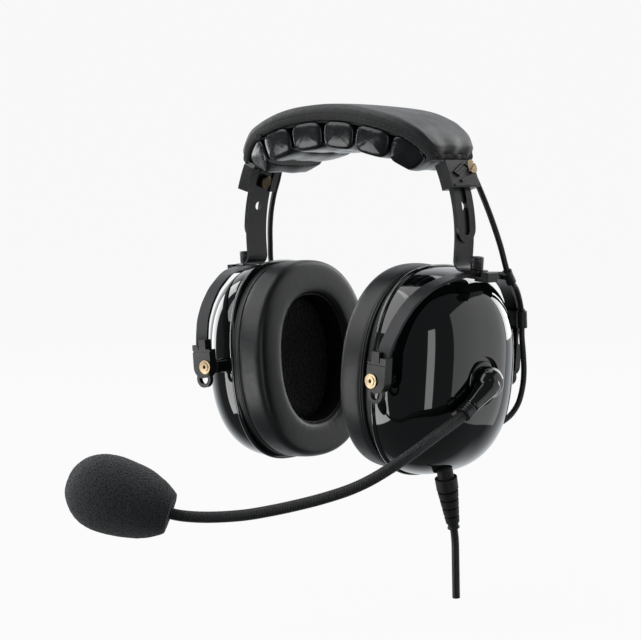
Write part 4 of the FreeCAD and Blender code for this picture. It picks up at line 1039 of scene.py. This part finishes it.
def dome_rows():
    """(x, half y, half z) from deep inside, out over the rim bead and up to the crown."""
    rows = []
    for k in (0.90, 0.7, 0.45, 0.2, 0.0):
        scale = dome_scale(k)
        rows.append((DOME_X + k * (DOME_DEPTH - DOME_WALL), (DOME_HALF_Y - DOME_WALL) * scale,
                     (DOME_HALF_Z - DOME_WALL) * scale))
    for grow in (-0.2, 0.35):
        rows.append((DOME_X, DOME_HALF_Y + grow, DOME_HALF_Z + grow))
    for angle in BEAD_ANGLES:
        grow = 0.15 + 0.95 * math.cos(angle * DEG)
        rows.append((DOME_X + 1.25 + 1.25 * math.sin(angle * DEG),
                     DOME_HALF_Y + grow, DOME_HALF_Z + grow))
    for i in range(SKIN_ROWS):
        rise = math.sin(i / (SKIN_ROWS - 1) * 90.0 * DEG)
        k = min(signed_power(rise, 2.0 / DOME_PROFILE), 0.99999)
        x = SKIN_START + k * (DOME_DEPTH - SKIN_START)
        scale = dome_scale(x / DOME_DEPTH)
        rows.append((DOME_X + x, DOME_HALF_Y * scale, DOME_HALF_Z * scale))
    return rows


def make_dome():
    """Plain dome in the side frame."""
    y, z = oval(1.0, 1.0, DOME_OUTLINE,
                np.linspace(0, 2 * math.pi, DOME_SEGMENTS, endpoint=False))
    rows = dome_rows()
    verts = np.vstack([np.stack([np.full(DOME_SEGMENTS, x), half_y * y, CUP_Z + half_z * z], 1)
                       for x, half_y, half_z in rows])
    faces = grid_faces(len(rows), DOME_SEGMENTS, close_columns=True)
    faces.append(tuple(range(len(verts) - DOME_SEGMENTS, len(verts))))
    ob = make("dome_work", verts, faces)
    weld(ob, 2e-7)
    outward(ob)
    return ob


def cut_boom_land(ob):
    profile = [(0, 0), (0, RECESS_RADIUS - 0.35), (0.35, RECESS_RADIUS),
               (8, RECESS_RADIUS + 0.5), (8, 0)]
    cutter = lathe("cut_work", (LAND_X, BOOM_Y, BOOM_Z), X_AXIS, profile, segments=128)
    modifier = ob.modifiers.new("cut", "BOOLEAN")
    modifier.object = cutter
    modifier.operation = "DIFFERENCE"
    modifier.solver = "EXACT"
    apply_modifiers(ob)
    bpy.data.objects.remove(cutter)


def skin_normals(points):
    """Which side-frame points lie on the ideal outer skin, and its normals there."""
    y, z = points[:, 1] / DOME_HALF_Y, (points[:, 2] - CUP_Z) / DOME_HALF_Z
    radius = (np.abs(y) ** DOME_OUTLINE + np.abs(z) ** DOME_OUTLINE) ** (1 / DOME_OUTLINE)
    k = np.clip((points[:, 0] - DOME_X) / DOME_DEPTH, 1e-6, 1)
    level = radius ** DOME_PROFILE + k ** DOME_PROFILE
    on_skin = (np.abs(level - 1) < 0.012) & (points[:, 0] > DOME_X + 2.5)
    radius = np.maximum(radius, 1e-9)
    slope = DOME_PROFILE * radius ** (DOME_PROFILE - 1) * radius ** (1 - DOME_OUTLINE)
    gradient = np.stack([
        DOME_PROFILE * k ** (DOME_PROFILE - 1) / DOME_DEPTH,
        slope * signed_power(y, DOME_OUTLINE - 1) / DOME_HALF_Y,
        slope * signed_power(z, DOME_OUTLINE - 1) / DOME_HALF_Z], 1)
    return on_skin, unit_rows(gradient)


def set_skin_normals(mesh, on_skin, normals):
    """Exact normals on the skin's corners, which give a clean mirror finish."""
    vertex = np.zeros(len(mesh.loops), np.int32)
    mesh.loops.foreach_get("vertex_index", vertex)
    corner_normals = np.array([c.vector for c in mesh.corner_normals], np.float32)
    face_normals = np.repeat(np.array([p.normal for p in mesh.polygons], np.float32),
                             [p.loop_total for p in mesh.polygons], axis=0)
    agree = (face_normals * normals[vertex]).sum(1) > 0.90
    use = on_skin[vertex] & agree
    corner_normals[use] = normals[vertex][use]
    mesh.normals_split_custom_set([tuple(v) for v in corner_normals])


def build_bosses(side):
    """Tubes inside the dome that the tilt screws enter, front and back."""
    bosses = []
    for sign, length in BOSS_LENGTHS:
        profile = [(0, 0), (0, BOSS_RADIUS), (length - 0.4, BOSS_RADIUS), (length, 3.4),
                   (length, BOSS_BORE), (4, BOSS_BORE), (4, 0)]
        boss = lathe("boss", side_to_row((PIVOT_X, sign * BOSS_START, PIVOT_Z)),
                     SIDE_Y * sign, profile, "dome_plastic")
        if side == "right":
            mirror_mesh(boss.data)
        bosses.append(boss)
    ob = join("cup_bosses_" + side, bosses)
    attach(ob, "cup_" + side)


def finish_dome(ob, side):
    mesh = ob.data
    points = mesh_points(mesh)
    on_skin, normals = skin_normals(points)
    set_points(mesh, side_to_row(points))
    shade_smooth(mesh)
    sharpen(ob, 38)
    set_skin_normals(mesh, on_skin, normals @ SIDE_AXES)
    set_material(mesh, "dome_plastic")
    if side == "right":
        mirror_mesh(mesh)
    ob.name = "cup_dome_" + side
    mesh.name = ob.name
    build_bosses(side)
    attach(ob, "cup_" + side)
    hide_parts("cup_shell_" + side)


def build_domes():
    left = make_dome()
    plain_mesh = left.data.copy()
    cut_boom_land(left)
    finish_dome(left, "left")
    finish_dome(add_object("cup_dome_right", plain_mesh), "right")


build_domes()

# ------------------------------------------------------------------ cables that cross joints
CABLE_RADIUS = 1.5
# left cable from the band down, (x, y, z) in the row frame
CABLE_ROW = (
    (59.9, 10.6, 111.8), (61.0, 10.75, 109.6), (62.9, 12.3, 105.9), (66.3, 14.1, 98.6),
    (70.3, 15.0, 90.0), (74.4, 16.8, 78.8), (78.0, 20.0, 64.6))
# and on to the cup, (x, y, z) in the side frame
CABLE_SIDE = (
    (1.5, 25.0, -3.5), (-0.6, 35.0, -10.8), (-2.2, 42.0, -20.6), (-2.4, 43.8, -26.8),
    (-1.7, 43.7, -35.0), (-0.6, 44.8, -46.0), (-0.1, 45.5, -55.0), (-0.2, 45.2, -62.5),
    (-0.5, 42.8, -70.6), (-1.0, 38.0, -76.0), (-1.6, 32.4, -79.0), (-2.4, 27.0, -80.6))
UPPER_CLIP, LOWER_CLIP = CABLE_SIDE[0], CABLE_SIDE[3]
UPPER_END_Z, MIDDLE_END_Z = 97.0, 76.0      # row frame


def build_cables():
    whole = side_to_row(smooth_curve(np.vstack([row_to_side(CABLE_ROW), CABLE_SIDE]), 420))
    in_side = row_to_side(whole)
    upper_end = int(np.argmax(whole[:, 2] < UPPER_END_Z))
    middle_end = int(np.argmax(whole[:, 2] < MIDDLE_END_Z))
    upper_clip, lower_clip = nearest(in_side, UPPER_CLIP), nearest(in_side, LOWER_CLIP)
    for side in ("left", "right"):
        # name, first and last station, and the two parts it bends between
        parts = (
            ("cable_upper_", 0, upper_end, ("headband", "side_" + side)),
            ("cable_middle_", upper_end, middle_end, ("side_" + side, "arm_" + side)),
            ("cable_lower_", middle_end, upper_clip, ("arm_" + side, "stirrup_" + side)),
            ("cable_hoop_", upper_clip, lower_clip, None),
            ("cable_tail_", lower_clip, len(whole) - 1, ("stirrup_" + side, "cup_" + side)))
        for name, first, last, joint in parts:
            path = whole[first:last + 1]
            if side == "right":
                path = mirror(path)
            ob = tube(name + side, path, CABLE_RADIUS, "cable_jacket", segments=20)
            if joint is None:
                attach(ob, "stirrup_" + side)
            else:
                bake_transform(ob)
            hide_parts("crossover_cable_" + side)


build_cables()

# ------------------------------------------------------------------ boom
BOOM_ANGLE = 214.0                          # from back towards up: the tail leaves forward, down
BOOM_DIRECTION = vec(0, math.cos(BOOM_ANGLE * DEG), math.sin(BOOM_ANGLE * DEG))
TAIL_X = LAND_X + 6.6                       # height of the elbow's tail over the cup
SLEEVE_RADIUS, RIB_HEIGHT = 2.75, 0.05
# path of the boom in the row frame, up to the bend and past it
BOOM_TO_BEND = (
    (84.6, -46.4, -26.4), (82.4, -59.6, -32.4), (78.0, -70.8, -38.4), (72.0, -78.2, -43.6),
    (65.0, -84.4, -47.8), (56.0, -91.8, -51.6))
BOOM_PAST_BEND = (
    (47.0, -99.2, -54.6), (36.0, -108.2, -57.6), (26.0, -116.6, -59.6), (13.0, -127.2, -60.4),
    (4.0, -134.6, -59.6))
MIC_NECK, MIC_TIP = vec(0.0, -138.0, -58.5), vec(-39.0, -167.0, -43.0)
MIC_LENGTH = np.linalg.norm(MIC_TIP - MIC_NECK)
MIC_AXIS = unit(MIC_TIP - MIC_NECK)

# (distance over the cup's x = 0, radius); the top is a rounded cap
TURRET_PROFILE = [(-1.5, 0.0), (-1.5, 3.4), (LAND_X + 0.6, 3.4), (LAND_X + 0.6, 8.1), (13.0, 8.15)]
TURRET_PROFILE += [(13.0 + 6.0 * math.sin(q * DEG), 2.2 + 5.95 * math.cos(q * DEG))
                   for q in (18, 36, 54, 72, 90)] + [(19.0, 0.0)]
# (distance along the tail, radius)
TAIL_PROFILE = ((0.0, 0.0), (0.0, 5.75), (4.0, 5.6), (9.0, 5.0), (14.0, 4.35), (18.2, 3.95),
                (18.95, 3.6), (18.95, 0.0))
# (distance over the land, radius)
FLANGE_PROFILE = ((0.12, 3.0), (0.12, 9.9), (0.4, 10.2), (0.9, 10.2), (1.35, 9.8), (1.6, 9.2),
                  (1.75, 7.6), (1.75, 3.0))
# (distance from the neck out of FOAM_PROFILE_LENGTH, radius)
FOAM_PROFILE_LENGTH = 51.0
FOAM_PROFILE = ((0.0, 9.6), (2.0, 11.2), (7.0, 14.0), (14.0, 16.4), (22.0, 17.9), (30.0, 18.4),
                (37.0, 17.4), (43.0, 14.6), (47.5, 10.2), (50.0, 5.6), (51.0, 0.0))
# (distance from the neck, radius), from inside the hole to the flat end
FOAM_MOUTH = [(3.4, 2.95), (0.9, 3.1), (0.15, 4.2), (0.0, 7.0), (0.0, 9.0)]
FOAM_SEGMENTS = 200


def build_sleeve():
    pivot = vec(TAIL_X, BOOM_Y, BOOM_Z)
    start, end = (side_to_row(pivot + BOOM_DIRECTION * reach) for reach in (15.1, 25.5))
    path = smooth_curve([start, 0.5 * (start + end), end, *BOOM_TO_BEND, *BOOM_PAST_BEND,
                         MIC_NECK + MIC_AXIS * 0.5, MIC_NECK + MIC_AXIS * 7.8], 520)
    # wound ribs in the surface itself
    ribs = np.sin(2 * math.pi * arc_lengths(path) / RIB_PITCH)
    radii = SLEEVE_RADIUS - RIB_HEIGHT + RIB_HEIGHT * ribs
    ob = tube("boom_sleeve_tube", path, radii, "boom_sleeve", segments=28)
    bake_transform(ob)
    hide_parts("boom_inner", "boom_outer")


def build_elbow():
    """Turret and tail flowing into one another over a flat flange."""
    base = side_to_row((0, BOOM_Y, BOOM_Z))
    turret = lathe("elbow_turret", base, SIDE_X, TURRET_PROFILE, segments=96)
    tail = lathe("elbow_tail", base + SIDE_X * TAIL_X, BOOM_DIRECTION @ SIDE_AXES, TAIL_PROFILE,
                 segments=96, up=SIDE_X)
    elbow = join("elbow_body", [turret, tail])
    # remeshed at twenty times the size
    elbow.data.transform(Matrix.Scale(20.0, 4))
    remesh = elbow.modifiers.new("blend", "REMESH")
    remesh.mode = "VOXEL"
    remesh.voxel_size = 0.0072
    relax = elbow.modifiers.new("smooth", "SMOOTH")
    relax.iterations = 26
    relax.factor = 0.5
    apply_modifiers(elbow)
    elbow.data.transform(Matrix.Scale(0.05, 4))
    set_material(elbow.data, "elbow_plastic")
    shade_smooth(elbow.data)
    flange = lathe("elbow_flange", base, SIDE_X,
                   [(LAND_X + rise, radius) for rise, radius in FLANGE_PROFILE],
                   "elbow_plastic", segments=96)
    for ob in (elbow, flange):
        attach(ob, "boom")
        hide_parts("boom_elbow")


def build_windscreen():
    curve = smooth_curve([(along * MIC_LENGTH / FOAM_PROFILE_LENGTH, radius, 0)
                          for along, radius in FOAM_PROFILE], 96)
    profile = FOAM_MOUTH + [(along, radius) for along, radius, _ in curve[:-1]]
    profile.append((MIC_LENGTH, 0.02))
    verts = revolve(MIC_NECK, MIC_AXIS, unit(np.cross(MIC_AXIS, Z_AXIS)), profile, FOAM_SEGMENTS)
    ob = make("mic_foam_ball", verts,
              grid_faces(len(profile), FOAM_SEGMENTS, close_columns=True), "open_foam")
    weld(ob, 1e-6)
    outward(ob)
    # worn unevenness and fine pores, fading out round the neck
    points = mesh_points(ob.data)
    normals = np.array([v.normal for v in ob.data.vertices], float)
    relief = np.array([0.32 * vector_noise.fractal(Vector(p) * 60.0, 1.0, 2.0, 3)
                       + 0.13 * vector_noise.noise(Vector(p) * 900.0) for p in points * MM])
    from_neck = np.linalg.norm(points - (MIC_NECK + MIC_AXIS * 2.0), axis=1)
    relief *= smooth((from_neck - 3.0) / 4.0)
    set_points(ob.data, points + normals * relief[:, None])
    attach(ob, "microphone")
    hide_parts("mic_windscreen")


build_sleeve()
build_elbow()
build_windscreen()

# ------------------------------------------------------------------ studio
CAMERA_AZIMUTH, CAMERA_ELEVATION, CAMERA_ROLL = 39.334 * DEG, 4.669 * DEG, 0.342 * DEG
CAMERA_DISTANCE, CAMERA_TARGET = 906.5, vec(-1.1, 0.0, 18.08)
LENS, SENSOR_WIDTH = 96.570983, 36.0
SHIFT_X, SHIFT_Y = -0.0522550702, 0.0168678627
# the camera's directions: towards it, to its right and up
BACK = vec(math.sin(CAMERA_AZIMUTH) * math.cos(CAMERA_ELEVATION),
           -math.cos(CAMERA_AZIMUTH) * math.cos(CAMERA_ELEVATION), math.sin(CAMERA_ELEVATION))
RIGHT = vec(math.cos(CAMERA_AZIMUTH), math.sin(CAMERA_AZIMUTH), 0)
UP = np.cross(BACK, RIGHT)

FLOOR_Z, FLOOR_HALF_WIDTH = -123.0, 4000.0
FLOOR_NEAR, FLOOR_FAR, SWEEP_RADIUS, BACKDROP_TOP = -2500.0, 2000.0, 1400.0, 4000.0
BACKDROP_COLOR = (0.965, 0.965, 0.965, 1)

# name, direction (right, up, back), distance, size in metres, power, x of the aimed point
LIGHTS = (
    ("key_left", (-0.73, 0.66, 0.30), 1500, (1.4, 1.4), 12, 30),
    ("strip_front", (0.40, -0.12, 0.88), 1500, (0.38, 1.30), 2.8, 66),
    ("side_right", (1.0, 0.05, -0.05), 1300, (1.5, 1.5), 4.2, 30),
    ("low_left", (-0.94, -0.30, 0.20), 900, (0.55, 0.46), 2.6, 30),
    ("rim_back_left", (-1.0, 0.4, -0.7), 1400, (0.5, 1.2), 6, 30),
    ("rim_back_right", (0.9, 0.6, -0.9), 1400, (0.6, 1.2), 6, 30),
    ("top", (0.0, 1.0, -0.15), 1300, (1.5, 1.1), 7.5, 30))


def build_world():
    """Even white to the camera; else bright behind the object and dim everywhere else."""
    world = bpy.data.worlds.new("studio")
    bpy.context.scene.world = world
    world.use_nodes = True
    tree = world.node_tree
    tree.nodes.clear()
    seen = add_node(tree, "ShaderNodeBackground", {"Color": BACKDROP_COLOR})
    coords = add_node(tree, "ShaderNodeTexCoord", {})
    facing = add_node(tree, "ShaderNodeVectorMath",
                      {0: coords.outputs["Generated"], 1: tuple(float(q) for q in BACK)},
                      operation="DOT_PRODUCT")
    strength = add_node(tree, "ShaderNodeMapRange", {
        "From Min": -0.80, "From Max": -0.40, "To Min": 0.80, "To Max": 0.10,
        "Value": facing.outputs["Value"]})
    ambient = add_node(tree, "ShaderNodeBackground", {
        "Color": (0.93, 0.97, 1.0, 1), "Strength": strength.outputs["Result"]})
    rays = add_node(tree, "ShaderNodeLightPath", {})
    mix = add_node(tree, "ShaderNodeMixShader", {
        "Fac": rays.outputs["Is Camera Ray"], 1: ambient.outputs[0], 2: seen.outputs[0]})
    add_node(tree, "ShaderNodeOutputWorld", {"Surface": mix.outputs[0]})


def floor_material():
    """Nearly even white to the camera and dark to every other ray."""
    material = bpy.data.materials.new("floor_paper")
    material.use_nodes = True
    tree = material.node_tree
    paper = tree.nodes["Principled BSDF"]
    paper.inputs["Base Color"].default_value = (0.90, 0.90, 0.90, 1)
    paper.inputs["Roughness"].default_value = 0.9
    paper.inputs["Specular IOR Level"].default_value = 0.1
    glow = add_node(tree, "ShaderNodeEmission", {"Color": BACKDROP_COLOR, "Strength": 1.0})
    dark = add_node(tree, "ShaderNodeEmission", {"Color": (0.12, 0.125, 0.13, 1)})
    rays = add_node(tree, "ShaderNodeLightPath", {})
    seen = add_node(tree, "ShaderNodeMixShader",
                    {"Fac": 0.97, 1: paper.outputs[0], 2: glow.outputs[0]})
    mix = add_node(tree, "ShaderNodeMixShader", {
        "Fac": rays.outputs["Is Camera Ray"], 1: dark.outputs[0], 2: seen.outputs[0]})
    tree.links.new(mix.outputs[0], tree.nodes["Material Output"].inputs["Surface"])
    return material


def build_floor():
    """Floor that sweeps up into a backdrop away from the camera."""
    profile = [(FLOOR_NEAR + (FLOOR_FAR - FLOOR_NEAR) * i / 23.0, 0.0) for i in range(24)]
    for i in range(1, 17):
        angle = 90.0 * i / 16 * DEG
        profile.append((FLOOR_FAR + SWEEP_RADIUS * math.sin(angle),
                        SWEEP_RADIUS - SWEEP_RADIUS * math.cos(angle)))
    profile.append((FLOOR_FAR + SWEEP_RADIUS, BACKDROP_TOP))
    away = unit(-BACK * vec(1, 1, 0))
    verts = [away * along + RIGHT * across + vec(0, 0, FLOOR_Z + z) for along, z in profile
             for across in (-FLOOR_HALF_WIDTH, FLOOR_HALF_WIDTH)]
    faces = [(2 * i, 2 * i + 1, 2 * i + 3, 2 * i + 2) for i in range(len(profile) - 1)]
    floor = make("floor", verts, faces)
    floor.data.materials.append(floor_material())
    floor.visible_glossy = False
    floor.visible_diffuse = False
    floor.visible_shadow = False


def build_light(name, direction, distance, size, power, aim_x):
    light = bpy.data.lights.new(name, "AREA")
    light.shape = "RECTANGLE"
    light.size, light.size_y = size
    light.energy = power
    ob = add_object(name, light)
    right, up, back = direction
    aim = vec(aim_x, 0, 0)
    place = aim + unit(RIGHT * right + UP * up + BACK * back) * distance
    place, aim = Vector(place * MM), Vector(aim * MM)
    ob.location = place
    ob.rotation_euler = (aim - place).to_track_quat("-Z", "Y").to_euler()


def build_camera():
    camera = bpy.data.cameras.new("camera")
    ob = add_object("camera", camera)
    camera.sensor_fit = "HORIZONTAL"
    camera.sensor_width = SENSOR_WIDTH
    camera.lens = LENS
    camera.shift_x = SHIFT_X
    camera.shift_y = SHIFT_Y
    camera.clip_start, camera.clip_end = 0.01, 50
    cos, sin = math.cos(CAMERA_ROLL), math.sin(CAMERA_ROLL)
    place = (CAMERA_TARGET + BACK * CAMERA_DISTANCE) * MM
    columns = np.column_stack([RIGHT * cos - UP * sin, RIGHT * sin + UP * cos, BACK, place])
    ob.matrix_world = Matrix([*columns.tolist(), (0, 0, 0, 1)])
    bpy.context.scene.camera = ob


build_world()
build_floor()
for entry in LIGHTS:
    build_light(*entry)
build_camera()
bpy.context.scene.view_settings.view_transform = "Standard"
bpy.context.scene.view_settings.look = "None"
